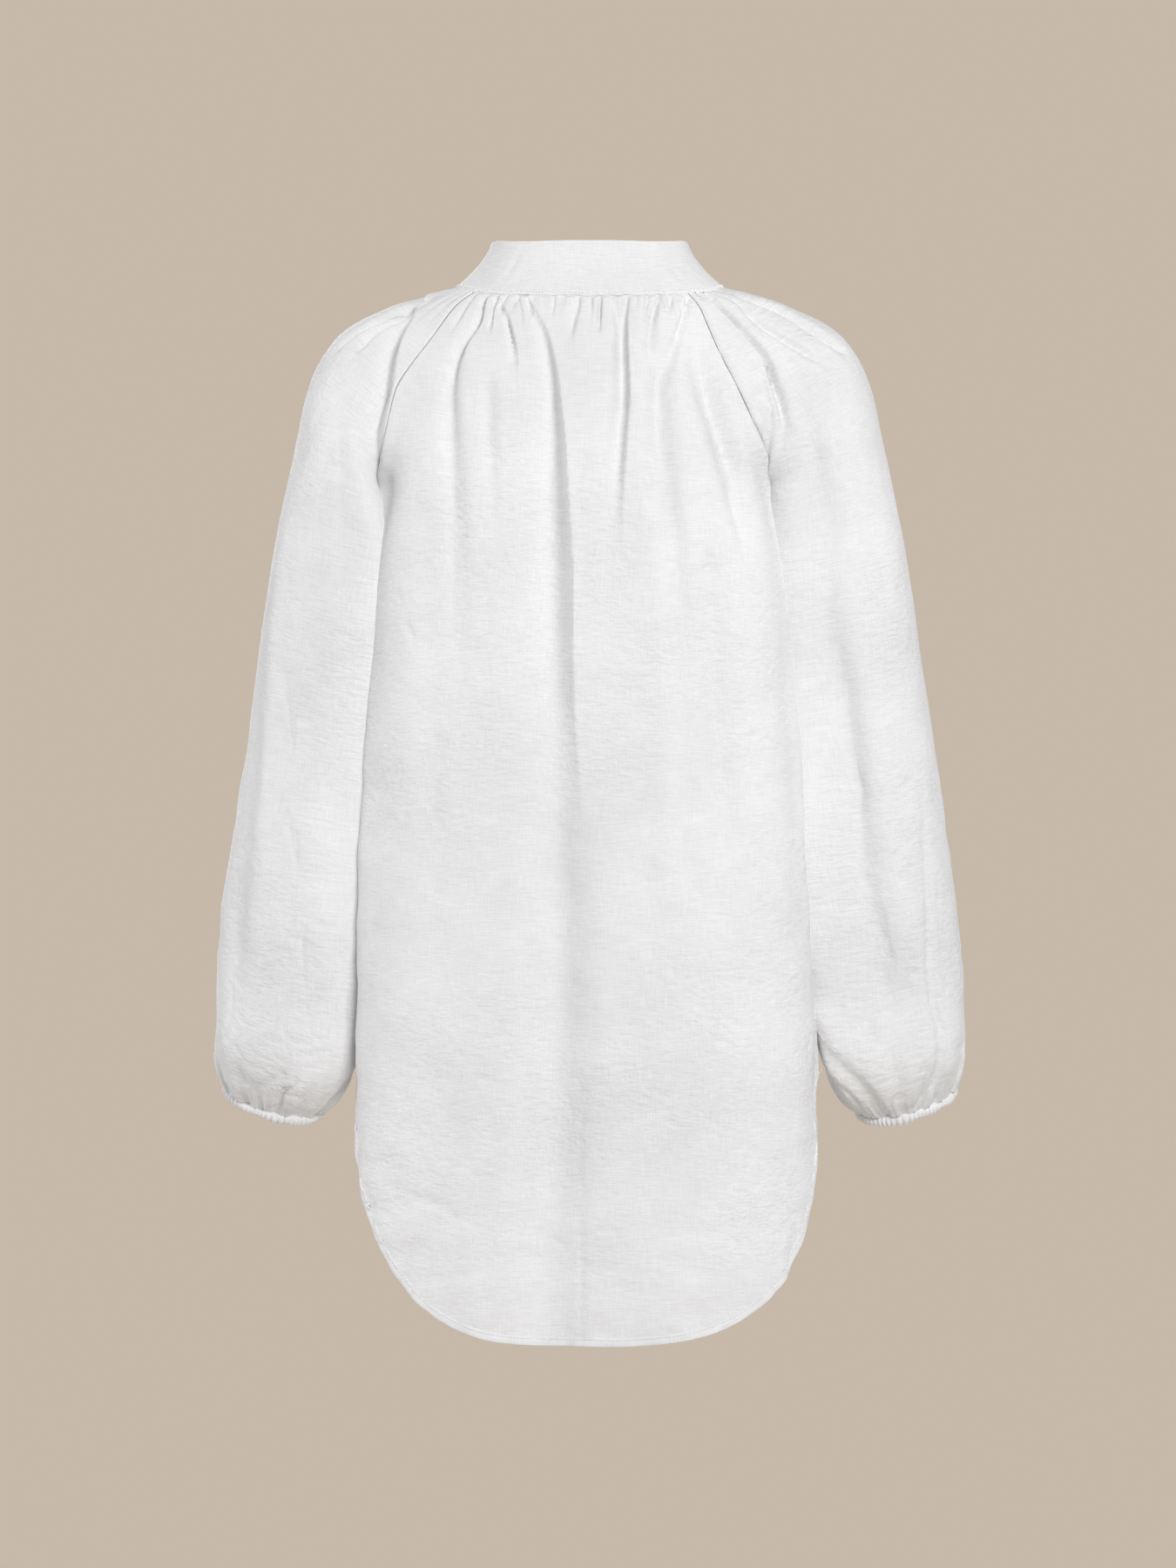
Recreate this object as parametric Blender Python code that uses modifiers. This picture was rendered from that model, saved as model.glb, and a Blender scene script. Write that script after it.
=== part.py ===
"""A white linen blouse in its worn, hollow shape, modelled in metres with +Z up.

The front faces -Y and the wearer's left is +X. The origin is the middle of the neck opening, at the
height of the collar seam, where the wearer's neck and shoulders carry the garment.

Every sheet of cloth is a function of two numbers: u or w runs across it from -1 to 1, and t runs down it,
0 at the collar seam, 1 at the underarm and 2 at the hem or the cuff. Tables are in millimetres.
"""

import math

import bmesh
import bpy
import numpy as np

MM = 0.001

# Driving sizes, in millimetres
BACK_LENGTH = 798.0
FRONT_LENGTH = 748.0
SIDE_LENGTH = 600.0
NECK_HALF_WIDTH = 104.5
NECK_BACK_Y = 72.0
NECK_FRONT_Y = -84.0
COLLAR_TOP_HALF_WIDTH = 75.5
COLLAR_TOP_BACK_Y = 57.0
COLLAR_TOP_FRONT_Y = -67.0
COLLAR_FLARE = 1.65
SLIT_HALF_GAP = 9.0
SLIT_END = 0.84
CUFF_DEPTH = 7.0
CLOTH = 1.2
COLLAR_CLOTH = 2.0
CUFF_CLOTH = 1.6
SEAM_GAP = 0.4
SIDE_GAP = 0.6
UNDERARM_EXTRA = 0.6
COLLAR_GAP = 0.9
SLEEVE_SHIFT = np.array([0.5, 0.0, 0.25])
WELD = 0.02

# Angles round the neck, in degrees from the centre back. The blouse hangs a little turned, so that the
# left back seam starts further round than the right one
BACK_RAGLAN = 52.5
BACK_RAGLAN_TURN = 6.2
FRONT_RAGLAN = 122.5
COLLAR_END = 175.0

# How many gathers, pleats and puckers are sewn in
BACK_GATHERS = 20
FRONT_GATHERS = 16
SLEEVE_PLEATS = 9
SLEEVE_PUCKERS = 14
CUFF_RUFFLES = 30

# Height of the collar seam, and of the collar's top edge, round the neck
NECK_RISE = {
    "angle": (0, 30, 52, 90, 122, 150, 180),
    "seam_z": (1.5, 3.5, 7.0, 14.5, 0.0, -28.0, -56.0),
    "top_z": (43.3, 44.5, 47.0, 52.8, 41.0, 11.0, -18.0),
}

# The sleeve's sections: above the underarm each is open towards the body and ends on the raglan seams. The
# leans move its inner side to the left on both sleeves, at the back seam and at the front one
SLEEVE = {
    "t": (0, 0.1, 0.2, 0.3, 0.4, 0.5, 0.62, 0.75, 0.9, 1, 1.15, 1.3, 1.45, 1.6, 1.75, 1.85, 1.92, 1.96, 2),
    "inner_x": (
        80, 92, 102, 112, 121, 130, 137, 143, 148, 150,
        156.5, 160.5, 164, 167.5, 171.5, 180, 190, 199, 212,
    ),
    "inner_z": (
        -1, -11, -24, -39, -53, -68, -86, -105, -131, -150,
        -197, -270, -350, -430, -505, -572, -606, -620, -630,
    ),
    "crown_x": (
        105, 125, 145, 164, 182, 197, 210, 220, 228, 233,
        243.5, 256, 269, 281, 292.5, 295.8, 295.5, 292.5, 286.5,
    ),
    "crown_z": (
        14, 9.5, 4, -4, -12.5, -23.5, -40.5, -64, -99, -122,
        -170, -245, -327, -408, -487, -540, -577, -595, -611,
    ),
    "mid_y": (-4, -4, -5, -5, -6, -6, -7, -8, -9, -10, -22, -29, -34, -39, -43, -46, -48, -49, -50),
    "half_depth": (52, 58, 62, 65, 66, 66, 66, 66, 66, 65, 62, 60, 60, 61.5, 63.5, 63, 57, 48, 34),
    "wrap": (60, 62, 65, 68, 72, 78, 90, 108, 146, 180, 180, 180, 180, 180, 180, 180, 180, 180, 180),
    "rate": (60, 62, 65, 68, 72, 77, 83, 90, 101, 110, 135, 160, 180, 180, 180, 180, 180, 180, 180),
    "dip": (
        0.11, 0.09, 0.07, 0.05, 0.04, 0.03, 0.02, 0.01, 0, 0,
        0, 0, 0, 0, -0.02, -0.06, -0.14, -0.24, -0.33,
    ),
    "lean_back": (6.7, 9.5, 12, 14.5, 16.5, 17.5, 16, 13.5, 11, 9.5, 7.8, 5.5, 4.8, 3, 1, 0, 0, 0, 0),
    "lean_front": (0, 1, 2, 3, 4, 5, 6, 7.5, 8.5, 9.5, 7.8, 5.5, 4.8, 3, 1, 0, 0, 0, 0),
}

# The side seam, from the underarm down to the hem
SIDE_SEAM = {
    "t": (1.0, 1.15, 1.4, 1.6, 1.8, 2.0),
    "x": (150, 156.5, 161.5, 167, 175, 180),
    "y": (-10, -9, -6, -4, -1, 0),
    "z": (-150, -197, -290, -375, -475, -SIDE_LENGTH),
    "lean": (9.5, 7.8, 5.4, 4.6, 2.6, 0.8),
}

# The middle line of each panel, how its rows bow down to the tail, and how full its oval is (2 is an ellipse)
BACK = {
    "t": (0.0, 0.25, 0.5, 0.75, 1.0, 1.15, 1.4, 1.6, 1.8, 2.0),
    "mid_y": (NECK_BACK_Y, 89, 100, 106, 108, 109, 111, 114, 119, 127),
    "mid_z": (1.5, -36, -75, -116, -156, -222, -345, -460, -610, -BACK_LENGTH),
    "bow": (2.0, 2.0, 2.0, 2.0, 2.0, 2.2, 2.5, 2.7, 2.85, 2.95),
    "full": (2.0, 2.0, 2.05, 2.25, 2.8, 2.85, 2.7, 2.55, 2.4, 2.3),
}
FRONT = {
    "t": (0.0, 0.25, 0.5, 0.75, 1.0, 1.15, 1.4, 1.6, 1.8, 2.0),
    "mid_y": (NECK_FRONT_Y, -97, -108, -116, -121, -124, -126, -127, -129, -132),
    "mid_z": (-56, -88, -120, -150, -182, -240, -350, -455, -590, -FRONT_LENGTH),
    "bow": (1.6, 1.7, 1.8, 1.9, 2.0, 2.2, 2.5, 2.7, 2.85, 2.95),
    "full": (2.0, 2.0, 2.0, 2.15, 2.5, 2.35, 2.15, 2.1, 2.1, 2.1),
}

# The largest folds of each panel: a trough (depth over 0) or a ridge from one point down to another
FOLD_COLUMNS = ("x_start", "z_start", "x_end", "z_end", "bend", "width", "depth")
BACK_FOLDS = (
    (36, -2, 17, -430, 6.0, 7.5, 9.0),
    (17, -200, 12, -830, 1.0, 23.0, 9.0),
    (-28, -2, -24, -260, 1.0, 6.5, 6.5),
    (64, -4, 57, -105, 1.0, 6.0, 4.0),
    (99, -30, 90, -260, 1.0, 9.0, 4.0),
    (-86, -15, -126, -230, 0.6, 10.0, 6.0),
    (-45, -150, -62, -520, 1.0, 13.0, -4.5),
    (-100, -140, -96, -420, 1.0, 20.0, 4.0),
    (62, -230, 80, -760, 1.0, 24.0, -4.0),
    (-98, -420, -84, -780, 1.0, 26.0, -3.5),
    (126, -150, 118, -560, 1.0, 12.0, 3.5),
)
FRONT_FOLDS = (
    (30, -60, 24, -420, 1.0, 9.0, 6.0),
    (-38, -60, -34, -500, 1.0, 10.0, 7.0),
    (66, -45, 60, -300, 1.0, 8.0, 4.5),
    (-72, -40, -66, -260, 1.0, 8.0, 4.5),
    (0, -330, -6, -780, 1.0, 26.0, 8.0),
    (78, -260, 86, -760, 1.0, 22.0, -4.5),
    (-80, -300, -88, -760, 1.0, 24.0, -4.5),
)

# The largest folds of each sleeve, from one (w, t) to another; w is 1 at the back seam, -1 at the front
SLEEVE_FOLD_COLUMNS = ("w_start", "t_start", "w_end", "t_end", "bend", "width", "depth")
LEFT_SLEEVE_FOLDS = (
    (0.30, 0.06, 0.98, 1.05, 2.0, 0.08, 8.0),
    (0.62, 0.06, 0.86, 0.70, 1.0, 0.08, -3.5),
    (0.30, 0.90, 0.34, 1.80, 1.0, 0.09, -4.0),
    (0.50, 1.05, 0.48, 1.85, 1.0, 0.10, 4.0),
    (-0.45, 0.20, -0.55, 1.70, 1.0, 0.10, 5.0),
    (-0.15, 1.00, -0.12, 1.85, 1.0, 0.09, -4.0),
)
RIGHT_SLEEVE_FOLDS = (
    (0.62, 0.03, 0.83, 0.95, 1.5, 0.065, 8.0),
    (0.84, 0.05, 0.93, 0.80, 1.0, 0.05, -3.0),
    (0.67, 0.60, 0.50, 1.85, 1.5, 0.07, -4.5),
    (0.75, 1.00, 0.66, 1.85, 1.0, 0.08, 4.0),
    (0.10, 1.40, 0.27, 1.90, 1.0, 0.05, 3.0),
    (-0.50, 0.15, -0.58, 1.75, 1.0, 0.10, 5.0),
)

# Rows of the cloth grids: where each row lies, and how many faces run along it. Pieces that meet share rows
SEAM_ROWS = (0.18, 0.27, 0.38, 0.5, 0.62, 0.74, SLIT_END, 0.92, 1)
SIDE_ROWS = (1.12, 1.24, 1.37, 1.5, 1.62, 1.73, 1.83, 1.91, 2)
GATHER_ROWS = (0, 0.05, 0.11)
BACK_ROWS = [(t, 80) for t in GATHER_ROWS] + [(t, 40) for t in SEAM_ROWS + SIDE_ROWS]
FRONT_HALF_ROWS = [(t, 32) for t in GATHER_ROWS] + [(t, 16) for t in SEAM_ROWS + SIDE_ROWS]
SLEEVE_ROWS = [(t, 48) for t in GATHER_ROWS] + [(t, 24) for t in SEAM_ROWS]
SLEEVE_ROWS += [(t, 24) for t in (1.1, 1.22, 1.36, 1.5, 1.64, 1.76)]
SLEEVE_ROWS += [(t, 48) for t in (1.84, 1.89, 1.935, 1.97, 2)]
COLLAR_ROWS = [(t, 42) for t in (0, 0.33, 0.67, 1)]
CUFF_ROWS = [(t, 3 * CUFF_RUFFLES) for t in (0, 1)]

# A small step for slopes, in u and t
STEP = 1e-3


def flow(table, column, at):
    """A table's column at any value of its first column, on a smooth curve that never overshoots a row."""
    knots = np.array(next(iter(table.values())), float)
    values = np.array(table[column], float)
    at = np.clip(at, knots[0], knots[-1])
    gap = np.diff(knots)
    slope = np.diff(values) / gap
    product = slope[:-1] * slope[1:]
    total = np.where(product > 0, slope[:-1] + slope[1:], 1.0)
    tangent = np.concatenate([slope[:1], np.where(product > 0, 2 * product / total, 0.0), slope[-1:]])
    i = np.clip(np.searchsorted(knots, at, side="right") - 1, 0, len(gap) - 1)
    s = (at - knots[i]) / gap[i]
    start = values[i] * (1 + 2 * s) * (1 - s) ** 2 + gap[i] * tangent[i] * s * (1 - s) ** 2
    return start + values[i + 1] * s * s * (3 - 2 * s) + gap[i] * tangent[i + 1] * s * s * (s - 1)


def ease(value, low, high):
    """0 at or below low, 1 at or above high, and a smooth step between."""
    s = np.clip((value - low) / (high - low), 0, 1)
    return s * s * (3 - 2 * s)


def unit(vectors):
    return vectors / np.linalg.norm(vectors, axis=-1, keepdims=True)


def neck_seam(angle):
    """The collar seam at an angle from the centre back: an oval that drops towards the front."""
    turn = np.radians(angle)
    half = (NECK_BACK_Y - NECK_FRONT_Y) / 2
    middle = (NECK_BACK_Y + NECK_FRONT_Y) / 2
    height = flow(NECK_RISE, "seam_z", np.abs(angle))
    return np.stack([NECK_HALF_WIDTH * np.sin(turn), middle + half * np.cos(turn), height], axis=-1)


def collar_top(angle):
    """The collar's upper edge at an angle from the centre back."""
    turn = np.radians(angle)
    half = (COLLAR_TOP_BACK_Y - COLLAR_TOP_FRONT_Y) / 2
    middle = (COLLAR_TOP_BACK_Y + COLLAR_TOP_FRONT_Y) / 2
    height = flow(NECK_RISE, "top_z", np.abs(angle))
    across = COLLAR_TOP_HALF_WIDTH * np.sin(turn)
    return np.stack([across, middle + half * np.cos(turn), height], axis=-1)


def collar_sheet(u, t):
    """The collar stands on the seam and flares out to it: plan and height are blended at different rates."""
    low, high = neck_seam(u * COLLAR_END), collar_top(u * COLLAR_END)
    spread = ((1 - t) ** COLLAR_FLARE)[:, None]
    flat = high + (low - high) * spread
    flat[:, 2] = low[:, 2] + (high[:, 2] - low[:, 2]) * t
    return flat


def collar_upward(angle):
    """The direction in which the collar leaves its seam."""
    u = np.asarray(angle, float) / COLLAR_END
    none = np.zeros_like(u)
    return unit(collar_sheet(u, none + STEP) - collar_sheet(u, none))


def collar_outward(angle):
    """The direction that points out of the collar at its seam."""
    along = neck_seam(angle + 0.1) - neck_seam(angle - 0.1)
    return unit(np.cross(collar_upward(angle), along))


def near_neck(t):
    """1 at the collar seam, where a sheet keeps to it exactly, and 0 further down."""
    return (1 - ease(t, 0.0, 0.3))[:, None]


def sleeve_section(w, t, hand):
    """One section of a sleeve: an arc of an ellipse from the front seam over the crown to the back seam."""
    wrap = np.radians(flow(SLEEVE, "wrap", t))
    rate = np.radians(flow(SLEEVE, "rate", t))
    turn = rate * w + (wrap - rate) * w**3
    lift = (np.cos(turn) - np.cos(wrap)) / (1 - np.cos(wrap))
    across = flow(SLEEVE, "half_depth", t) * np.sin(turn)
    back = flow(SLEEVE, "lean_back", t)
    front = np.where(t < 1, flow(SLEEVE, "lean_front", t), back)
    inner_x = flow(SLEEVE, "inner_x", t) + hand * (front + (back - front) * (1 + w) / 2)
    inner_z = flow(SLEEVE, "inner_z", t)
    x = inner_x + (flow(SLEEVE, "crown_x", t) - inner_x) * lift
    z = inner_z + (flow(SLEEVE, "crown_z", t) - inner_z) * lift + flow(SLEEVE, "dip", t) * across
    return np.stack([x, flow(SLEEVE, "mid_y", t) + across, z], axis=-1)


def back_raglan(hand):
    return BACK_RAGLAN + hand * BACK_RAGLAN_TURN


def sleeve_angle(w, hand):
    """Where a point of a sleeve's top edge meets the collar seam, as an angle from the centre back."""
    return (back_raglan(hand) + FRONT_RAGLAN - w * (FRONT_RAGLAN - back_raglan(hand))) / 2


def sleeve_sheet(w, t, hand):
    """A sleeve before its folds, pulled onto the collar seam at the top; the right one is made as a left one."""
    miss = neck_seam(sleeve_angle(w, hand)) - sleeve_section(w, np.zeros_like(t), hand)
    return sleeve_section(w, t, hand) + miss * near_neck(t)


def panel_edge(t, back, hand):
    """A side edge of a panel: the raglan seam down to the underarm, then the side seam."""
    raglan = sleeve_sheet(np.full_like(t, 1.0 if back else -1.0), np.minimum(t, 1.0), hand)
    side = np.stack([flow(SIDE_SEAM, name, t) for name in "xyz"], axis=-1)
    side[:, 0] += hand * flow(SIDE_SEAM, "lean", t)
    apart = SIDE_GAP / 2 + UNDERARM_EXTRA * (1 - ease(t, 1.0, 1.12))
    side[:, 1] += apart if back else -apart
    return np.where((t < 1)[:, None], raglan, side)


def slit_half_gap(t):
    """Half the width of the neck slit, which closes at its end."""
    return SLIT_HALF_GAP * np.clip(1 - t / SLIT_END, 0, 1) ** 1.3


def panel_sheet(side, t, back, hand):
    """Half a panel before its folds: arcs of a full, body-wide oval, with rows that bow down to the tail."""
    table = BACK if back else FRONT
    edge = panel_edge(t, back, hand)
    mid_y = flow(table, "mid_y", t)
    widest_y = flow(SIDE_SEAM, "y", t)
    full = flow(table, "full", t)
    reach = 1 - np.clip((edge[:, 1] - widest_y) / (mid_y - widest_y), 0, 1) ** full
    across = side + (np.sin(np.pi / 2 * side) - side) * ease(t, 0.0, 1.1)
    lip = np.zeros_like(t) if back else slit_half_gap(t)
    x = lip + (edge[:, 0] - lip) * across
    y = widest_y + (mid_y - widest_y) * np.maximum(1 - reach * across**full, 0) ** (1 / full)
    mid_z = flow(table, "mid_z", t)
    z = mid_z + (edge[:, 2] - mid_z) * side ** flow(table, "bow", t)
    sheet = np.stack([x, y, z], axis=-1)
    return sheet + (edge - sheet) * ease(side, 0.9, 1.0)[:, None]


def neck_angle(side, back, hand):
    """Where a panel's point meets the collar seam, as an angle from the centre back."""
    if back:
        return back_raglan(hand) * side
    return COLLAR_END - (COLLAR_END - FRONT_RAGLAN) * side


def half_panel(side, t, back, hand):
    """Half a panel pulled onto the collar seam; hand is 1 for the left half and -1 for the right one."""
    start = panel_sheet(side, np.zeros_like(t), back, hand)
    miss = neck_seam(neck_angle(side, back, hand)) - start
    return (panel_sheet(side, t, back, hand) + miss * near_neck(t)) * np.array([hand, 1, 1])


def whole_panel(u, t, back):
    """Both halves of a panel; u runs from the right edge, -1, to the left edge, 1."""
    left, right = half_panel(np.abs(u), t, back, 1), half_panel(np.abs(u), t, back, -1)
    return np.where((u < 0)[:, None], right, left)


def fold_relief(folds, x, z):
    """How far panel folds move the cloth out: troughs and ridges that fade in at the start and out at the end."""
    total = np.zeros_like(x)
    for row in folds:
        fold = dict(zip(FOLD_COLUMNS, row))
        drop = fold["z_start"] - fold["z_end"]
        along = np.clip((fold["z_start"] - z) / drop, 0, 1)
        line = fold["x_end"] + (fold["x_start"] - fold["x_end"]) * (1 - along) ** fold["bend"]
        ends = ease(along * drop, 0, 24) * (1 - ease(along, 0.6, 1.0))
        if fold["z_end"] < -FRONT_LENGTH:
            ends = ease(along * drop, 0, 150)
        total -= fold["depth"] * np.exp(-(((x - line) / fold["width"]) ** 2)) * ends
    return total


def gather_relief(u, t, count):
    """Small waves that run down from the collar seam, each with its own length."""
    uneven = u + 0.018 * np.sin(9 * u + 1.0) + 0.010 * np.sin(23 * u)
    wave = np.cos(math.pi * count * uneven)
    height = 1.3 + 1.1 * ease(t, 0, 0.08)
    length = 0.30 + 0.13 * np.sin(6.1 * u + 0.8) + 0.06 * np.sin(17 * u)
    return height * wave * np.exp(-((t / length) ** 1.6))


def panel_relief(u, t, base, back):
    """All the relief of a panel; it dies away at the raglan and side seams."""
    folds, count = (BACK_FOLDS, BACK_GATHERS) if back else (FRONT_FOLDS, FRONT_GATHERS)
    edge = 1 - ease(np.abs(u), 0.78, 0.97)
    gathers = gather_relief(u, t, count) * (0.25 + 0.75 * edge)
    hips = 3.0 * np.sin(2.6 * np.pi * u + (0.6 if back else 2.1)) * ease(t, 1.3, 1.9)
    large = fold_relief(folds, base[:, 0], base[:, 2]) + hips
    return gathers * (1 - ease(np.abs(u), 0.97, 1.0)) + large * edge


def sleeve_relief(w, t, folds):
    """All the relief of a sleeve: pleats at the neck, long folds, and puckers above the elastic."""
    edge = 1 - ease(np.abs(w), 0.90, 1.0)
    uneven = w + 0.03 * np.sin(5 * w + 0.5)
    pleats = 2.2 * np.cos(math.pi * SLEEVE_PLEATS * uneven) * np.exp(-((t / 0.45) ** 2)) * edge
    total = pleats * (0.55 + 0.45 * ease(t, 0, 0.1))
    for row in folds:
        fold = dict(zip(SLEEVE_FOLD_COLUMNS, row))
        along = np.clip((t - fold["t_start"]) / (fold["t_end"] - fold["t_start"]), 0, 1)
        line = fold["w_end"] + (fold["w_start"] - fold["w_end"]) * (1 - along) ** fold["bend"]
        ends = ease(along, 0, 0.15) * (1 - ease(along, 0.65, 1.0))
        total -= fold["depth"] * np.exp(-(((w - line) / fold["width"]) ** 2)) * ends * edge
    pucker = 1 + np.cos(math.pi * SLEEVE_PUCKERS * w + 1.4 * np.sin(2 * math.pi * w))
    swell = 0.65 + 0.35 * np.sin(3 * math.pi * w + 0.4)
    return total + 1.5 * pucker * swell * ease(t, 1.84, 1.96)


def outward(sheet, u, t, facing):
    """The unit direction out of a sheet, from its slopes in u and t."""
    across = sheet(u + STEP, t) - sheet(u - STEP, t)
    down = sheet(u, np.minimum(t + STEP, 2)) - sheet(u, np.maximum(t - STEP, 0))
    return unit(np.cross(across, down)) * facing


def turned_to_collar(out, t, angle):
    """Out directions that agree with the collar's own at the collar seam."""
    return unit(out + (collar_outward(angle) - out) * (1 - ease(t, 0, 0.12))[:, None])


def back_panel(u, t):
    base = whole_panel(u, t, True)
    out = outward(lambda a, b: whole_panel(a, b, True), u, t, 1)
    angle = np.where(u < 0, back_raglan(-1), back_raglan(1)) * u
    out = turned_to_collar(out, t, angle)
    return base + out * panel_relief(u, t, base, True)[:, None]


def front_half(u, t, hand):
    base = half_panel(u, t, False, hand)
    out = outward(lambda a, b: half_panel(np.maximum(a, 0), b, False, hand), u, t, -hand)
    out = turned_to_collar(out, t, hand * neck_angle(u, False, hand))
    return base + out * panel_relief(u * hand, t, base, False)[:, None]


def cuff_axis(hand):
    """The direction in which the hand leaves a cuff, for a sleeve made as a left one."""
    ring = sleeve_sheet(np.array([0.0, 1.0, 0.5, -0.5]), np.full(4, 2.0), hand)
    axis = unit(np.cross(ring[0] - ring[1], ring[2] - ring[3]))
    return axis * -np.sign(axis[2])


def sleeve(w, t, hand):
    """The finished sleeve surface; above the cuff its puckers stay in the plane of the elastic."""
    folds = LEFT_SLEEVE_FOLDS if hand > 0 else RIGHT_SLEEVE_FOLDS
    base = sleeve_sheet(w, t, hand)
    out = outward(lambda a, b: sleeve_sheet(a, b, hand), w, t, -1)
    out = turned_to_collar(out, t, sleeve_angle(w, hand))
    axis = cuff_axis(hand)
    level = unit(out - (out @ axis)[:, None] * axis)
    out = unit(out + (level - out) * ease(t, 1.9, 1.97)[:, None])
    made = base + out * sleeve_relief(w, t, folds)[:, None] + SLEEVE_SHIFT
    return made * np.array([hand, 1, 1])


def cuff(w, t, hand):
    """The elastic casing: a narrow ruffled ring that carries on along the axis of the sleeve's last ring."""
    ring = sleeve_sheet(w, np.full_like(t, 2.0), hand)
    centre = (ring.max(axis=0) + ring.min(axis=0)) / 2
    axis = cuff_axis(hand)
    radial = unit(ring - centre)
    ruffle = 1.0 + 1.0 * np.cos(math.pi * CUFF_RUFFLES * (w + 1))
    below = SEAM_GAP + CUFF_DEPTH * t
    made = ring + axis * below[:, None] + radial * (ruffle * (0.8 + 0.4 * t))[:, None] + SLEEVE_SHIFT
    return made * np.array([hand, 1, 1])


def collar(u, t):
    return collar_sheet(u, t) + collar_upward(u * COLLAR_END) * COLLAR_GAP


def linen(name, roughness):
    """White linen: one Principled material for a piece."""
    material = bpy.data.materials.new(name)
    material.use_nodes = True
    shader = material.node_tree.nodes["Principled BSDF"]
    shader.inputs["Base Color"].default_value = (0.87, 0.87, 0.88, 1.0)
    shader.inputs["Roughness"].default_value = roughness
    shader.inputs["Metallic"].default_value = 0.0
    return material


def join_rows(mesh, upper, lower):
    """Faces between two rows of points; one row may have twice as many faces along it as the other."""
    if len(upper) == len(lower):
        for i in range(len(upper) - 1):
            mesh.faces.new((upper[i], upper[i + 1], lower[i + 1], lower[i]))
        return
    if len(upper) < len(lower):
        for i in range(len(upper) - 1):
            mesh.faces.new((upper[i], lower[2 * i + 1], lower[2 * i]))
            mesh.faces.new((upper[i], upper[i + 1], lower[2 * i + 1]))
            mesh.faces.new((upper[i + 1], lower[2 * i + 2], lower[2 * i + 1]))
        return
    for i in range(len(lower) - 1):
        mesh.faces.new((upper[2 * i], upper[2 * i + 1], lower[i]))
        mesh.faces.new((upper[2 * i + 1], lower[i + 1], lower[i]))
        mesh.faces.new((upper[2 * i + 1], upper[2 * i + 2], lower[i + 1]))


def add_sheet(mesh, surface, rows, low, high):
    """Lays a grid of points on a surface, row by row, and joins them."""
    laid = []
    for t, count in rows:
        u = np.linspace(low, high, count + 1)
        points = surface(u, np.full(len(u), float(t))) * MM
        laid.append([mesh.verts.new(point) for point in points])
    for upper, lower in zip(laid, laid[1:]):
        join_rows(mesh, upper, lower)


def cloth_object(name, sheets, thickness, collection, flip):
    """One piece of cloth: its open sheets welded where they meet, given a wall on the inner side."""
    mesh = bmesh.new()
    for surface, rows, low, high in sheets:
        add_sheet(mesh, surface, rows, low, high)
    bmesh.ops.remove_doubles(mesh, verts=mesh.verts, dist=WELD * MM)
    bmesh.ops.recalc_face_normals(mesh, faces=mesh.faces)
    if flip(mesh):
        bmesh.ops.reverse_faces(mesh, faces=mesh.faces)
    data = bpy.data.meshes.new(name)
    mesh.to_mesh(data)
    mesh.free()
    data.shade_smooth()
    piece = bpy.data.objects.new(name, data)
    collection.objects.link(piece)
    wall = piece.modifiers.new("Wall", "SOLIDIFY")
    wall.thickness = thickness * MM
    wall.offset = -1
    wall.use_quality_normals = True
    data.materials.append(linen(name, 0.85))
    return piece


def faces_inward(mesh, centre):
    """True if most of a sheet's area looks towards a vertical axis through centre."""
    total = 0.0
    for face in mesh.faces:
        away = face.calc_center_median() - centre
        away.z = 0
        total += face.normal.dot(away.normalized()) * face.calc_area()
    return total < 0


def build():
    for old in list(bpy.data.objects):
        bpy.data.objects.remove(old)
    blouse = bpy.data.collections.new("blouse")
    bpy.context.scene.collection.children.link(blouse)
    zero = bpy.context.scene.cursor.location * 0

    def looks_at_body(mesh):
        return faces_inward(mesh, zero)

    cloth_object("back_panel", [(back_panel, BACK_ROWS, -1, 1)], CLOTH, blouse, looks_at_body)
    fronts = [
        (lambda u, t: front_half(u, t, 1), FRONT_HALF_ROWS, 0, 1),
        (lambda u, t: front_half(u, t, -1), FRONT_HALF_ROWS, 0, 1),
    ]
    cloth_object("front_panel", fronts, CLOTH, blouse, looks_at_body)
    cloth_object("collar", [(collar, COLLAR_ROWS, -1, 1)], COLLAR_CLOTH, blouse, looks_at_body)
    for name, hand in (("left", 1), ("right", -1)):
        arm = zero.copy()
        arm.x = 0.215 * hand

        def looks_at_arm(mesh, arm=arm):
            return faces_inward(mesh, arm)

        def one_sleeve(w, t, hand=hand):
            return sleeve(w, t, hand)

        def one_cuff(w, t, hand=hand):
            return cuff(w, t, hand)

        tube = [(one_sleeve, SLEEVE_ROWS, -1, 1)]
        cloth_object("sleeve_" + name, tube, CLOTH, blouse, looks_at_arm)
        ring = [(one_cuff, CUFF_ROWS, -1, 1)]
        cloth_object("cuff_" + name, ring, CUFF_CLOTH, blouse, looks_at_arm)


build()
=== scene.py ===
"""A white linen blouse with a stand collar, gathered raglan sleeves and a shirt-tail hem, in its studio.

Every sheet of cloth is a function of two numbers: u or w runs across it from -1 to 1, and t runs down it, 0
at the collar seam, 1 at the underarm and 2 at the hem or the cuff. A sheet's base form is the CAD model's,
and its creases are laid on it. Tables and functions are in millimetres, and the meshes in metres.
"""

import math

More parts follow.
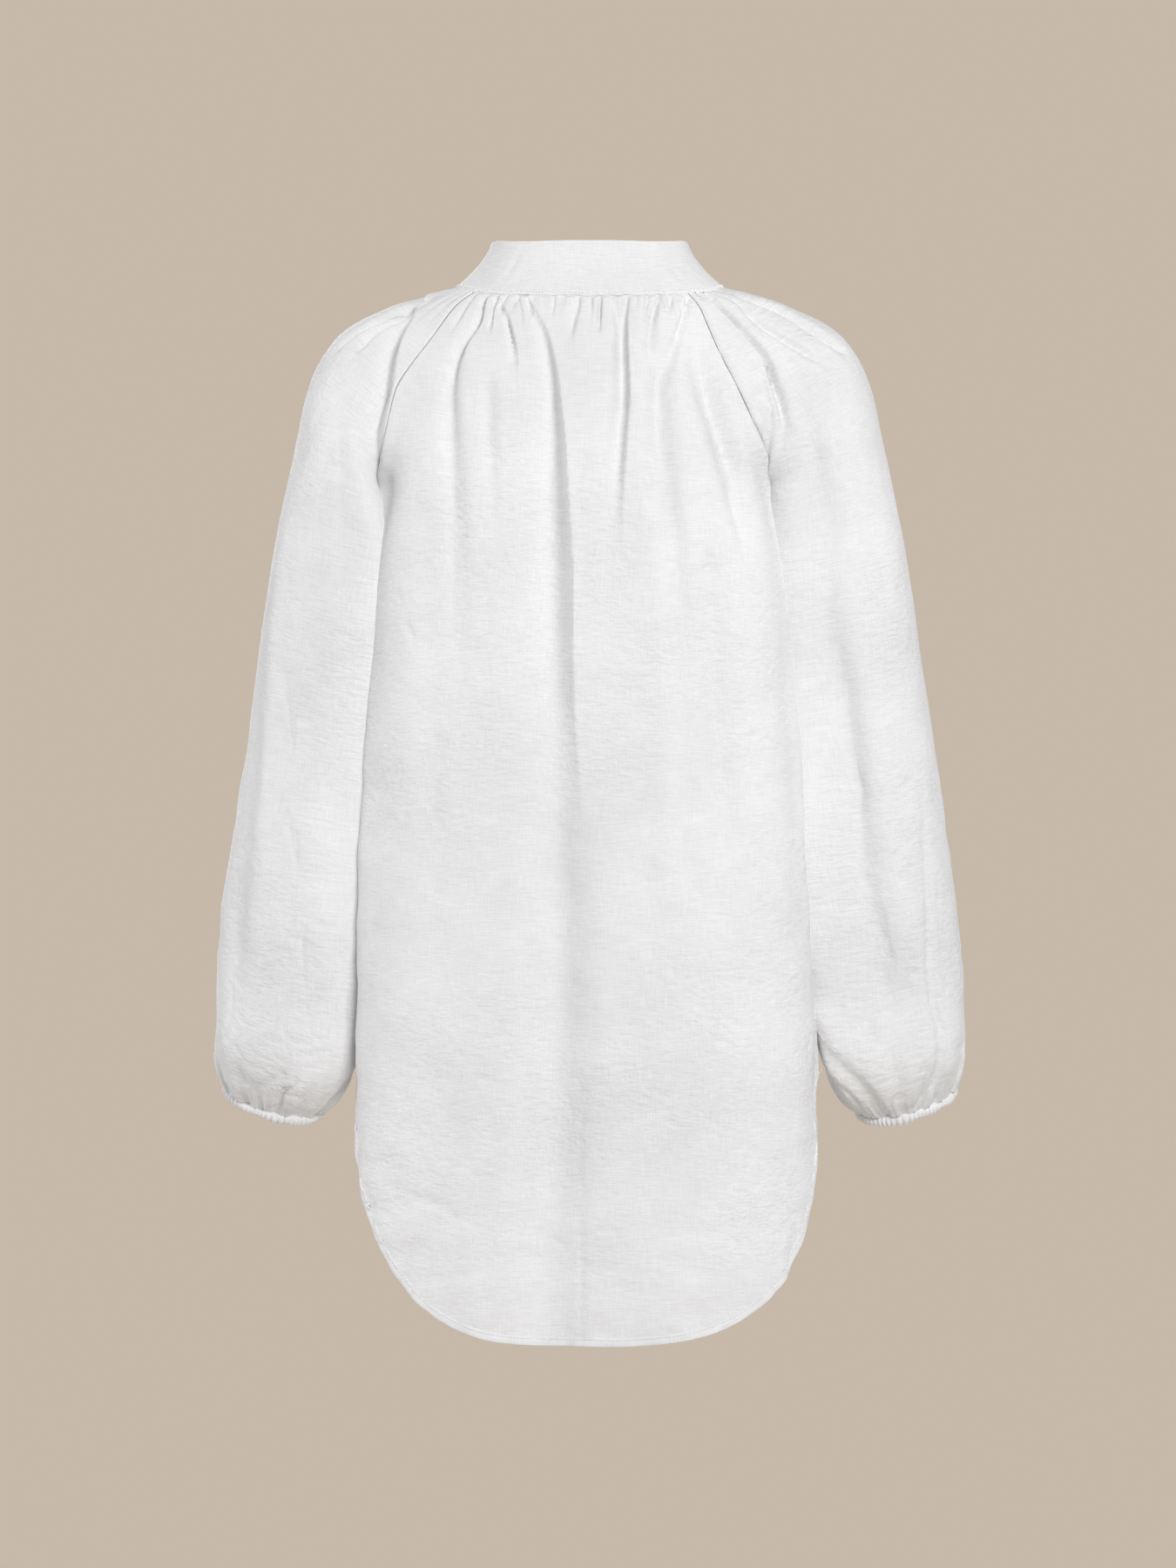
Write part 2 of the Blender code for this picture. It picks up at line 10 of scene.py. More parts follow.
import bpy
import numpy as np
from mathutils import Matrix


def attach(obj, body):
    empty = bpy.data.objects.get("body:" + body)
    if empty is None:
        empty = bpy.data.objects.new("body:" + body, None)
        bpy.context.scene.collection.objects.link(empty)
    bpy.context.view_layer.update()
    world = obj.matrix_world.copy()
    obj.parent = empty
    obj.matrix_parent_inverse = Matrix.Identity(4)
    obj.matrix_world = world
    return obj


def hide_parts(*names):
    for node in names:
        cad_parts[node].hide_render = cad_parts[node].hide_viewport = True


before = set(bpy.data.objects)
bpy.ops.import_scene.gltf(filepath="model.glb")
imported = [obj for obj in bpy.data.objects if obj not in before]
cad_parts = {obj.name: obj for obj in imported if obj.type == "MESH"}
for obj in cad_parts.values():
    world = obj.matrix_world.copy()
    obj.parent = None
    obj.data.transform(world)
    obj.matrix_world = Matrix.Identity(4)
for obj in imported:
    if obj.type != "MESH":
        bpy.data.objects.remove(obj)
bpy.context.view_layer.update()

MM = 0.001
STEP = 1e-3

# Driving sizes, as in the CAD model
BACK_LENGTH = 798.0
FRONT_LENGTH = 748.0
SIDE_LENGTH = 600.0
NECK_HALF_WIDTH = 104.5
NECK_BACK_Y = 72.0
NECK_FRONT_Y = -84.0
COLLAR_TOP_HALF_WIDTH = 75.5
COLLAR_TOP_BACK_Y = 57.0
COLLAR_TOP_FRONT_Y = -67.0
COLLAR_FLARE = 1.65
SLIT_HALF_GAP = 9.0
SLIT_END = 0.84
SEAM_GAP = 0.4
SIDE_GAP = 0.6
UNDERARM_EXTRA = 0.6
SLEEVE_SHIFT = np.array([0.5, 0.0, 0.25])
BACK_RAGLAN = 52.5
BACK_RAGLAN_TURN = 6.2
FRONT_RAGLAN = 122.5
COLLAR_END = 175.0

NECK_RISE = {
    "angle": (0, 30, 52, 90, 122, 150, 180),
    "seam_z": (1.5, 3.5, 7.0, 14.5, 0.0, -28.0, -56.0),
    "top_z": (43.3, 44.5, 47.0, 52.8, 41.0, 11.0, -18.0),
}
SLEEVE = {
    "t": (0, 0.1, 0.2, 0.3, 0.4, 0.5, 0.62, 0.75, 0.9, 1, 1.15, 1.3, 1.45, 1.6, 1.75, 1.85, 1.92, 1.96, 2),
    "inner_x": (
        80, 92, 102, 112, 121, 130, 137, 143, 148, 150,
        156.5, 160.5, 164, 167.5, 171.5, 180, 190, 199, 212,
    ),
    "inner_z": (
        -1, -11, -24, -39, -53, -68, -86, -105, -131, -150,
        -197, -270, -350, -430, -505, -572, -606, -620, -630,
    ),
    "crown_x": (
        105, 125, 145, 164, 182, 197, 210, 220, 228, 233,
        243.5, 256, 269, 281, 292.5, 295.8, 295.5, 292.5, 286.5,
    ),
    "crown_z": (
        14, 9.5, 4, -4, -12.5, -23.5, -40.5, -64, -99, -122,
        -170, -245, -327, -408, -487, -540, -577, -595, -611,
    ),
    "mid_y": (-4, -4, -5, -5, -6, -6, -7, -8, -9, -10, -22, -29, -34, -39, -43, -46, -48, -49, -50),
    "half_depth": (52, 58, 62, 65, 66, 66, 66, 66, 66, 65, 62, 60, 60, 61.5, 63.5, 63, 57, 48, 34),
    "wrap": (60, 62, 65, 68, 72, 78, 90, 108, 146, 180, 180, 180, 180, 180, 180, 180, 180, 180, 180),
    "rate": (60, 62, 65, 68, 72, 77, 83, 90, 101, 110, 135, 160, 180, 180, 180, 180, 180, 180, 180),
    "dip": (
        0.11, 0.09, 0.07, 0.05, 0.04, 0.03, 0.02, 0.01, 0, 0,
        0, 0, 0, 0, -0.02, -0.06, -0.14, -0.24, -0.33,
    ),
    "lean_back": (6.7, 9.5, 12, 14.5, 16.5, 17.5, 16, 13.5, 11, 9.5, 7.8, 5.5, 4.8, 3, 1, 0, 0, 0, 0),
    "lean_front": (0, 1, 2, 3, 4, 5, 6, 7.5, 8.5, 9.5, 7.8, 5.5, 4.8, 3, 1, 0, 0, 0, 0),
}
SIDE_SEAM = {
    "t": (1.0, 1.15, 1.4, 1.6, 1.8, 2.0),
    "x": (150, 156.5, 161.5, 167, 175, 180),
    "y": (-10, -9, -6, -4, -1, 0),
    "z": (-150, -197, -290, -375, -475, -SIDE_LENGTH),
    "lean": (9.5, 7.8, 5.4, 4.6, 2.6, 0.8),
}
BACK = {
    "t": (0.0, 0.25, 0.5, 0.75, 1.0, 1.15, 1.4, 1.6, 1.8, 2.0),
    "mid_y": (NECK_BACK_Y, 89, 100, 106, 108, 109, 111, 114, 119, 127),
    "mid_z": (1.5, -36, -75, -116, -156, -222, -345, -460, -610, -BACK_LENGTH),
    "bow": (2.0, 2.0, 2.0, 2.0, 2.0, 2.2, 2.5, 2.7, 2.85, 2.95),
    "full": (2.0, 2.0, 2.05, 2.25, 2.8, 2.85, 2.7, 2.55, 2.4, 2.3),
}
FRONT = {
    "t": (0.0, 0.25, 0.5, 0.75, 1.0, 1.15, 1.4, 1.6, 1.8, 2.0),
    "mid_y": (NECK_FRONT_Y, -97, -108, -116, -121, -124, -126, -127, -129, -132),
    "mid_z": (-56, -88, -120, -150, -182, -240, -350, -455, -590, -FRONT_LENGTH),
    "bow": (1.6, 1.7, 1.8, 1.9, 2.0, 2.2, 2.5, 2.7, 2.85, 2.95),
    "full": (2.0, 2.0, 2.0, 2.15, 2.5, 2.35, 2.15, 2.1, 2.1, 2.1),
}

# The linen's thickness, and how many points of a wall's outer side go to one of its inner side
LINEN = 0.55
WALL_STEP = 3
# The turn, in degrees, from which an edge is sharp: on sheets, on bands and on stitches
SHARP_CLOTH = 55
SHARP_BAND = 60
SHARP_STITCH = 80

# Rows of stitches: from one to the next, their length and their thickness
HEM_SEWING = (3.1, 2.3, 0.55)
COLLAR_SEWING = (2.6, 1.7, 1.25)

# The turned hem: its depth, its stitch line, how deep it sinks in the cloth, and its outline as (out, up),
# down the outer side, round the fold and up the inner side
HEM_DEPTH = 6.2
HEM_STITCH = 5.0
HEM_STITCH_OUT = 0.52
HEM_SUNK = 0.3
HEM_PROFILE = (
    (-0.5, HEM_DEPTH + 0.2), (0.1, HEM_DEPTH + 0.25), (0.5, HEM_DEPTH - 0.1), (0.66, HEM_STITCH + 0.6),
    (0.48, HEM_STITCH), (0.72, HEM_STITCH - 0.7), (0.74, 3.2), (0.8, 1.4), (0.72, 0.4), (0.35, -0.3),
    (-0.2, -0.45), (-0.9, 0.1), (-1.2, 1.0), (-1.15, HEM_DEPTH - 1.2), (-0.9, HEM_DEPTH - 0.5),
)

# The collar's height on its cloth, how far it stands out, its half thickness, and its top edge's roundness
COLLAR_HIGH = 43.0
COLLAR_OUT = 0.3
COLLAR_HALF = 0.85
COLLAR_ROUND = 1.1
# Soft dents of the collar: angle from the centre back, lean, width in degrees, depth, height and half height
COLLAR_DENTS = (
    (44, -0.02, 2.2, 0.8, 24, 16), (36, 0.05, 3.0, 0.5, 12, 10), (-47, 0.05, 2.4, 0.6, 20, 14),
    (12, 0.1, 3.5, 0.35, 14, 9), (-20, -0.1, 4.0, 0.35, 26, 10), (95, 0.1, 5.0, 0.6, 20, 14),
    (-100, -0.1, 5.0, 0.6, 20, 14), (140, 0.0, 6.0, 0.5, 20, 14), (-135, 0.1, 6.0, 0.5, 18, 12),
)

# The elastic casing: ruffles from its front to its back, its depth at each hand, and its outline as the share
# of the depth, how far it stands out, and how far its ruffles do
CUFF_RUFFLES = 31
CUFF_DEEP = {1: 5.6, -1: 6.6}
CUFF_PROFILE = (
    (-1.3, -1.5, 0.0), (-0.6, 0.2, 0.5), (0.0, 1.0, 1.0), (0.22, 1.5, 1.3), (0.5, 1.65, 1.5),
    (0.78, 1.35, 1.35),
    (0.93, 0.9, 1.25), (1.05, 0.35, 1.3), (1.03, -0.35, 0.9), (0.85, -0.8, 0.3), (0.4, -0.9, 0.2),
    (-0.2, -1.0, 0.1), (-1.1, -2.2, 0.0),
)

# Uneven waves of the gathers: their rate across the cloth, their sway, and the rate and shift of the sway
NECK_PUFFS = (26, 1.3, 9, 0.4)
NECK_PLEATS = (17, 1.2, 7, 1.0)
HEM_PUCKERS = (43, 2.0, 7)
LONG_PUCKERS = (11 * math.pi, 1.4, 5)
FINE_PUCKERS = (CUFF_RUFFLES * math.pi, 1.6, 5)
COLLAR_RIPPLE = (2.3, 3, 0.17)
# How deep the gathers are
NECK_PUFF = 2.6
NECK_PUFF_SUNK = 0.7
NECK_PLEAT = 1.4
HEM_PUCKER = 0.42
LONG_PUCKER = 2.8
BROAD_PUCKER = 1.7
FINE_PUCKER = 1.3
NECK_PUFF_DOWN = ((0, 0.022), (0.03, 0.17))

# Where the cloth stands fuller than its base form, or is drawn in. ACROSS, ROUND and DOWN say where: a pair
# of numbers is the middle and the half width of a bell, and a pair of ranges is where it rises and falls
SIDE_FULL = 8.0
SIDE_FULL_ACROSS = (0.93, 0.06)
SIDE_FULL_DOWN = ((0.55, 1.05), (1.5, 1.95))
ARMPIT_FULL = 3.5
ARMPIT_WIDE = 2.5
ARMPIT_ACROSS = (0.97, 0.08)
ARMPIT_DOWN = (1.08, 0.16)
HIP_WAVE = 3.0
HIP_SHIFT = {True: 0.6, False: 2.1}
FRONT_TUCK = 4.5
RAGLAN_LAP = 0.4
SLEEVE_FULL = 15.0
SLEEVE_FULL_ROUND = (130, 27)
SLEEVE_FULL_DOWN = ((0.5, 1.25), (1.6, 1.93))
SLEEVE_LEAN = 8.5
LOW_LEAN = 9.0
SLEEVE_LEAN_ROUND = (132, 26)
SLEEVE_LEAN_DOWN = ((0.6, 1.25), (1.82, 1.96))
UPPER_ARM_FULL = 4.0
UPPER_ARM_DOWN = (1.26, 0.15)
UNDERARM_SUNK = 2.5
UNDERARM_DOWN = (0.97, 0.08)
WRIST_FULL = 9.0
WRIST_DOWN = (1.9, 0.055)
WRIST_ACROSS = ((0.05, 0.3), (0.75, 0.9))
# The raglan seams: how far the cloth rolls up and sinks beside them at each hand, and turns in at its edge
SEAM_ROLL = {1: 0.5, -1: 0.9}
SEAM_SUNK = {1: 4.0, -1: 0.0}
SEAM_TURN = 0.8
# The share of the creases' depth that is left at the collar seam, and the radius of a stepped fold's edge
NECK_SHARE = 0.35
EDGE_ROUND = 0.6

# Creases laid on the cloth as it hangs, seen square on from the back (or from the front): the points of the
# line as (x, z), its half width on the +x side and on the -x side, its depths along the line (a ridge is
# under
# 0), a lip that stands up beside it and a lap that pulls the cloth over it. A lip or a lap over 0 is on the
# +x side and under 0 on the -x side, and is nought where it is left out. Widths may be lists too
BACK_CREASES = (
    (((81, 3), (87, -17), (101, -38), (108, -62), (109, -100), (107, -161), (105, -214), (103, -280),
      (100, -340)),
     (2.5, 4, 8, 10, 11, 12), (2, 3.2, 8, 12, 14, 14), (3, 8, 10, 11.5, 12, 11, 9, 5, 0)),
    (((82, -39), (78, -68), (77, -108), (74, -161), (69, -227)), 9, 9, (0, 6, 6.5, 4.5, 0)),
    (((73, 3), (76, -16), (77, -32)), 2.2, 1.8, (2.5, 4, 0), -0.5),
    (((48, 3), (47, -3), (46, -11)), 1.9, 1.5, (2.2, 2.6, 0), -0.3),
    (((27, 2), (28, -7), (29, -18)), 1.8, 1.4, (2.4, 2.4, 0)),
    (((9, 2), (13, -20), (16, -40)), 4, 3, (2, 4.2, 0)),
    (((-8, 2), (-8, -15), (-7, -31)), 2.8, 1.6, (2.5, 4, 0), -0.6, -0.8),
    (((-20, 2), (-21, -15), (-23, -33)), 2.8, 2.2, (2, 3, 0)),
    (((-44, 2), (-43, -9), (-40, -25)), 2.0, 1.3, (2.5, 3.6, 0), -0.4),
    (((-53, 3), (-51, -6), (-48, -19), (-46, -38), (-47, -62)),
     (2, 4, 6), (1.4, 3, 5), (2.5, 4.8, 3.5, 0), -0.4),
    (((-63, 3), (-62, -5), (-60, -14)), 1.8, 1.4, (2.2, 2.4, 0)),
    (((-76, 2), (-70, -23), (-65, -40), (-58, -55), (-53, -75), (-50, -121), (-47, -188), (-47, -254)),
     (2, 5, 8, 10, 10), (2, 4, 7, 9, 10), (2.5, 5, 5.5, 5, 4.5, 4, 2, 0)),
    (((19, 2), (20, -11)), 1.5, 1.3, (2, 0)),
    (((1, 2), (0, -10)), 1.6, 1.3, (2.2, 0)),
    (((-36, 2), (-36, -11)), 1.5, 1.2, (2.2, 0)),
    (((55, 2), (53, -10), (51, -25)), 2.0, 1.6, (2.2, 2.4, 0)),
    (((90, 3), (99, -10), (109, -29)), 2.6, 1.8, (2, 3.8, 0), -0.5),
    (((25, -333), (25, -406), (25, -472), (26, -572), (28, -651), (30, -717), (30, -810)),
     (20, 24, 26, 26), (14, 24, 30, 34, 34), (0, 11, 17, 19, 19, 17, 14)),
    (((-78, -15), (-86, -48), (-94, -75), (-102, -99), (-109, -121), (-116, -145), (-121, -177),
      (-124, -214)),
     12, 6.2, (0, 8, 13, 14, 13, 10, 5, 0)),
    (((-91, -174), (-94, -241), (-96, -307), (-102, -373), (-105, -446)), 10, 10, (0, 4.5, 4.5, 4, 0)),
    (((-48, -22), (-53, -62), (-56, -108), (-62, -174), (-66, -227), (-77, -294)),
      10, 9, (0, 5, 6, 6, 4.5, 0)),
    (((-107, -137), (-116, -159), (-121, -184), (-121, -211)), 5, 2.4, (0, 2.5, 2, 0)),
    (((7, -558), (7, -691), (6, -770), (6, -810)), 3, 3, (0, 0.8, 1.0, 0.9)),
    (((156, -679), (130, -690), (107, -698), (96, -713)), 4, 3, (0, 1.0, 0.8, 0)),
    (((-120, -577), (-148, -586), (-172, -592)), 4, 4, (0, -1.5, 0)),
    (((143, -244), (138, -259), (134, -274)), 2.4, 2.4, (0, 2.2, 0)),
    (((149, -266), (137, -270)), 2.4, 2.4, (0, 1.2, 0)),
    (((121, -241), (113, -307), (116, -373)), 12, 8, (0, 1.8, 0)),
    (((-69, -188), (-76, -241), (-73, -307)), 8, 11, (0, 2.0, 0)),
    (((-9, -148), (-6, -201), (-10, -267)), 7, 5, (0, -1.5, 0)),
    (((82, -280), (79, -373), (85, -492)), 14, 10, (0, 2.2, 0)),
    (((-108, -320), (-102, -413), (-109, -519)), 10, 14, (0, 2.0, 0)),
)
LEFT_SLEEVE_CREASES = (
    (((136, -1), (150, -10), (163, -19), (173, -30), (180, -39)), 3.0, 2.2, (2, 6, 7.5, 7.5, 0), -0.8, -0.8),
    (((126, 4), (152, -6), (165, -13), (179, -22), (189, -30), (202, -41)),
     2.6, 1.8, (1.5, 3.2, 6, 6, 3.5, 0), -0.5, -0.5),
    (((114, 7), (132, 2), (149, -3), (167, -10)), 2.3, 1.7, (1.5, 2.8, 2.8, 0), -0.4),
    (((134, -4), (138, -12), (140, -21)), 1.5, 1.8, (0, 2.6, 0)),
    (((194, -64), (191, -118), (193, -171), (197, -239)), 5, 5, (0, 1.8, 1.8, 0)),
    (((178, -64), (174, -145), (169, -205), (173, -279)), 7, 6, (0, 2.2, 2, 0)),
    (((205, -91), (209, -171), (205, -279), (218, -373), (226, -467)), 8, 10, (0, -2.2, -1.6, -2.4, 0)),
    (((223, -145), (233, -239), (241, -346), (253, -454)), 6, 8, (0, 1.8, 2.2, 1.6, 0)),
    (((220, -145), (234, -252), (243, -346), (248, -440), (252, -521), (251, -575)),
     16, 18, (0, -4, -6, -6, -5, 0)),
    (((253, -239), (264, -346), (275, -440), (279, -507), (275, -568)), 9, 11, (0, 4, 5.5, 5, 0)),
    (((259, -198), (268, -299), (276, -373), (281, -447)), 2.4, 2.0, (0, 1.6, 1.8, 0), 0.5),
    (((185, -171), (191, -279), (198, -373), (204, -467), (206, -541)), 13, 15, (0, 4, 5.5, 5.5, 0)),
    (((238, -286), (232, -306), (229, -339), (233, -373)), 2.4, 2.0, (0, 1.8, 1.6, 0), 0.5),
    (((253, -376), (238, -393), (229, -419), (228, -447)), 2.6, 2.2, (0, 1.8, 2, 0), 0.5),
    (((222, -480), (226, -501), (224, -528)), 2.0, 1.8, (0, 1.6, 0), 0.4),
    (((230, -599), (232, -606), (238, -611), (242, -620), (243, -624), (250, -628)),
     2.0, 1.5, (0, 2.2, 3.4, 3.6, 3, 1), 0.8, 0.8),
    (((238, -612), (228, -616), (223, -617)), 1.8, 1.6, (2, 1.8, 0)),
    (((236, -595), (247, -602), (255, -609)), 2.2, 2.2, (0, 2.4, 0), 0.5),
    (((276, -587), (265, -606), (263, -613), (265, -628)), 4, 5, (0, 3.5, 3.5, 1.5)),
    (((235, -584), (226, -583), (211, -579)), 2.2, 2.2, (0, 1.8, 0), 0.5),
    (((225, -639), (224, -634), (216, -628)), 1.8, 1.8, (2, 2.4, 0)),
    (((283, -581), (283, -594), (279, -608)), 3, 3, (0, 2.2, 0)),
    (((253, -611), (257, -622), (255, -632)), 2.2, 2.2, (0, 2.2, 1.5)),
    (((205, -598), (210, -615), (216, -630)), 4, 4, (0, 2.2, 1.2)),
)
RIGHT_SLEEVE_CREASES = (
    (((-87, 9), (-107, -12), (-121, -28), (-134, -44), (-139, -61), (-144, -77), (-147, -94), (-149, -118)),
     (1.6, 1.7, 1.9, 2.4, 3), (2.2, 2.4, 2.6, 3.2, 4.5, 6, 8), (5, 9, 9.5, 9, 10, 9, 6, 0), 1.0, 1.0),
    (((-136, -47), (-133, -58), (-134, -74), (-138, -85), (-138, -125), (-139, -145)),
     1.8, 2.4, (0, 1.5, 1.5, 2, 2, 0), 0.4),
    (((-114, 1), (-122, -9), (-135, -20), (-152, -31), (-163, -38), (-176, -46), (-188, -53)),
     2.6, 3, (1.5, 4, 4.8, 4.8, 4, 2.5, 0), -0.5, -0.5),
    (((-116, 6), (-146, -5), (-166, -16), (-180, -26), (-191, -34), (-201, -40)),
     2.2, 2.2, (2, 5, 6, 6, 3.5, 0), -0.4),
    (((-150, -12), (-167, -22), (-183, -36)), 2.0, 2.0, (0, 1.5, 0)),
    (((-155, -54), (-163, -82), (-169, -104), (-173, -124), (-183, -173), (-187, -235), (-192, -273),
      (-200, -313), (-206, -365), (-210, -392), (-215, -450), (-225, -499), (-228, -557)),
     12, 9, (0, 3, 4, 4, 5, 7, 7.5, 6.5, 4.5, 0), -1.0),
    (((-259, -360), (-264, -467), (-267, -541), (-269, -566), (-268, -596), (-266, -606), (-263, -618),
      (-260, -626)),
     4.0, 3.0, (0, 3, 3.8, 4.4, 4.8, 5, 4, 1), -0.8),
    (((-170, -474), (-177, -521), (-185, -561)), 7, 6, (0, 3, 0)),
    (((-195, -198), (-209, -279), (-224, -373), (-240, -467), (-247, -541)), 13, 16, (0, -4, -5, -5, 0)),
    (((-225, -467), (-228, -514), (-237, -561)), 7, 7, (0, 3, 0)),
    (((-205, -353), (-212, -376), (-212, -413)), 2.6, 2.4, (0, 2.4, 0), 0.6),
    (((-224, -467), (-232, -502), (-241, -521)), 2.4, 2.0, (0, 2, 0), 0.5),
    (((-220, -145), (-229, -225), (-233, -306)), 6, 8, (0, -1.8, 0)),
    (((-167, -198), (-171, -279), (-170, -360)), 9, 6, (0, 2.4, 0)),
    (((-190, -553), (-198, -578), (-209, -595), (-216, -608), (-221, -626)),
      7, 5, (0, 2.2, 3.2, 3.6, 2), -0.6),
    (((-190, -592), (-202, -604), (-210, -618), (-215, -630)), 2.6, 2.2, (0, 2.4, 2.8, 1.2)),
    (((-249, -616), (-240, -617), (-232, -620)), 2.2, 2.2, (0, 2.4, 0), 0.6),
    (((-237, -622), (-234, -633)), 1.6, 1.6, (2.2, 2)),
    (((-260, -592), (-260, -604), (-259, -617), (-254, -627)), 2.4, 1.5, (0, 3, 3.6, 1.5), -0.6),
    (((-229, -509), (-229, -559), (-236, -581)), 5, 5, (0, -1.6, 0)),
    (((-275, -602), (-276, -620)), 1.4, 1.4, (0, 1.6, 0.8)),
    (((-279, -598), (-279, -615)), 1.4, 1.4, (0, 1.4, 0.8)),
)
FRONT_CREASES = (
    (((31, -50), (29, -120), (26, -240), (24, -330), (23, -430)),
     (4, 8, 11), (2, 2.5, 5), (2, 7, 6, 4, 0), -1.2, -1.2),
    (((-38, -54), (-37, -130), (-35, -260), (-34, -400), (-33, -520)),
     (2, 3, 6), (5, 9, 12), (2, 7.5, 7, 4, 0), 1.3, 1.4),
    (((62, -44), (63, -110), (61, -210), (60, -310)), (3, 7, 8), (2, 4, 6), (2, 5, 3.5, 0), -0.6),
    (((-70, -42), (-69, -110), (-66, -190), (-66, -270)), (3, 6, 8), (3, 6, 8), (2, 4.5, 3, 0)),
    (((16, -56), (17, -86), (18, -118)), 2.5, 2, (2, 2.5, 0)),
    (((-20, -56), (-20, -78), (-22, -100)), 2, 2.4, (2, 2.8, 0)),
    (((48, -50), (47, -78), (49, -105)), 2.2, 2.2, (2, 2.4, 0)),
    (((-54, -48), (-54, -74), (-52, -96)), 2, 2, (2, 2.6, 0)),
    (((76, -30), (79, -64), (84, -98)), 2.4, 2.4, (2, 2.8, 0)),
    (((-84, -26), (-88, -60), (-94, -120)), 2.6, 3.5, (2, 3.2, 0)),
    (((8, -320), (1, -450), (-2, -600), (-6, -770)), (18, 24, 26), (20, 24, 28), (0, 6, 8, 7)),
    (((82, -250), (86, -400), (88, -560), (90, -760)), 22, 20, (0, -4.5, -4.5, -2)),
    (((-82, -290), (-86, -420), (-88, -560), (-92, -760)), 22, 24, (0, -4.5, -4.5, -2)),
    (((120, -180), (116, -320), (124, -470)), 9, 11, (0, 3, 0)),
    (((-124, -170), (-118, -300), (-122, -440)), 10, 9, (0, 3, 0)),
    (((140, -470), (112, -500), (84, -512)), 4, 4, (0, 1.6, 0)),
    (((-136, -420), (-112, -452), (-92, -462)), 4, 4, (0, 1.5, 0)),
)
SLEEVE_FRONT_CREASES = (
    (((112, 8), (140, -14), (158, -42), (166, -80), (170, -120)),
      (3, 6, 8), (2, 4, 6), (2, 6, 6, 4, 0), -0.8),
    (((120, 8), (152, -8), (178, -28), (194, -52)), 2.4, 2.0, (1, 2.6, 2.4, 0)),
    (((104, 4), (120, -24), (132, -56), (142, -96)), 3, 3, (1.5, 4, 3, 0)),
    (((186, -90), (192, -180), (202, -300), (216, -420)), 8, 8, (0, 3, 3.4, 0)),
    (((214, -150), (226, -260), (240, -380), (256, -500)), 6, 8, (0, 2.4, 3, 0)),
    (((188, -330), (206, -440), (226, -540), (238, -610)), 7, 7, (0, 3.2, 3.6, 1.5)),
    (((262, -470), (262, -540), (256, -590), (250, -614)), 3.5, 3, (0, 2.6, 3.2, 1.5)),
    (((204, -540), (216, -572), (228, -596), (232, -616)), 4, 3, (0, 2.8, 3.2, 1.5)),
    (((276, -500), (274, -560), (268, -604)), 3, 3, (0, 2, 1.2)),
)

# Folds whose upper layer ends in a sharp edge, with the low side on +x: the points of the edge, how fast the
# cloth falls away beside it and how far the fall reaches, its depths along the line, and a small lip on the
# upper layer
BACK_STEPS = (
    (((47.0, 2), (37.8, -14), (30.5, -29), (24.5, -55), (20.9, -82), (18.2, -108), (16.6, -135), (14.6, -168),
      (12.6, -201), (11.9, -267), (10.6, -320), (7.9, -360), (5.3, -406)),
     (2, 2.8, 4.2, 7, 10, 11.5, 12.5, 14, 15, 14, 12, 13, 15), (7, 10, 15, 24, 30, 34, 36, 36),
     (4, 8, 13, 21, 30, 34, 36, 38, 38, 32, 21, 9, 0), 1.0),
    (((-31.1, 2), (-29.8, -20), (-30.1, -38), (-31.1, -62), (-31.1, -83), (-29.1, -108), (-27.2, -138),
      (-25.5, -168), (-24.5, -207)),
     (1.9, 2.6, 3.2, 3.8, 4.2, 4.4, 4.4), (6, 9, 11, 13, 14), (5, 11, 15, 17.5, 17, 15, 11, 5, 0), 0.6),
    (((68.2, 1), (60.9, -15), (57.0, -29), (54.3, -42), (53.6, -55), (54.3, -72)),
     (1.8, 2.3, 2.8, 3.6, 4.4, 5), (5, 7, 9, 11), (5, 9.5, 11, 9.5, 6, 0), 0.6),
)
LEFT_SLEEVE_STEPS = (
    (((131.0, 0), (139.1, -18), (145.4, -34), (148.1, -50), (149.1, -66), (149.1, -82), (149.8, -98),
      (151.2, -118), (152.5, -145), (153.8, -171)),
     (3, 4.5, 5.5, 6, 6.5, 7, 7.5, 8), (10, 16, 20, 24, 24), (5, 13, 17, 20, 22, 23, 22, 17, 9, 0), 1.2),
)
SLEEVE_CREASES = {1: LEFT_SLEEVE_CREASES, -1: RIGHT_SLEEVE_CREASES}
SLEEVE_STEPS = {1: LEFT_SLEEVE_STEPS, -1: ()}

# Nets of small worn creases: seed, patch size across and down, lean, depth, sharpness
PANEL_RUMPLE = {
    True: ((11, 70, 40, 0.35, 0.8, 0.1), (23, 40, 24, -0.5, 0.62, 0.12), (37, 22, 13, 0.4, 0.36, 0.16)),
    False: ((51, 70, 42, -0.35, 0.8, 0.1), (63, 42, 24, 0.5, 0.62, 0.12), (77, 22, 13, 0.4, 0.36, 0.16)),
}
SLEEVE_RUMPLE = (
    (91, 44, 74, 0.35, 0.9, 0.1), (103, 26, 40, -0.5, 0.65, 0.12), (117, 16, 18, 0.4, 0.36, 0.16))
# The cloth's half width for those nets, and how far below the collar they reach full depth, from a share
PANEL_WIDE = 185
SLEEVE_WIDE = 165
WORN_FROM = (180, 560, 0.35)

# Soft swells of the back, as in the CAD model: from (x, z) down to (x, z), half width and depth
BACK_SWELLS = (
    (17, -200, 12, -830, 23.0, 2.0),
    (-45, -150, -62, -520, 13.0, -4.5),
    (-100, -140, -96, -420, 20.0, 4.0),
    (62, -230, 80, -760, 24.0, -4.0),
    (-98, -420, -84, -780, 26.0, -3.5),
    (126, -150, 118, -560, 12.0, 3.5),
)

# The linen: waves in a metre of its weave, grains in a metre along and across its slubs, its valleys' shade
WEAVE = 620.0
SLUBS = ((72.0, 2400.0), (56.0, 1150.0))
VALLEY_SHADE = 0.76

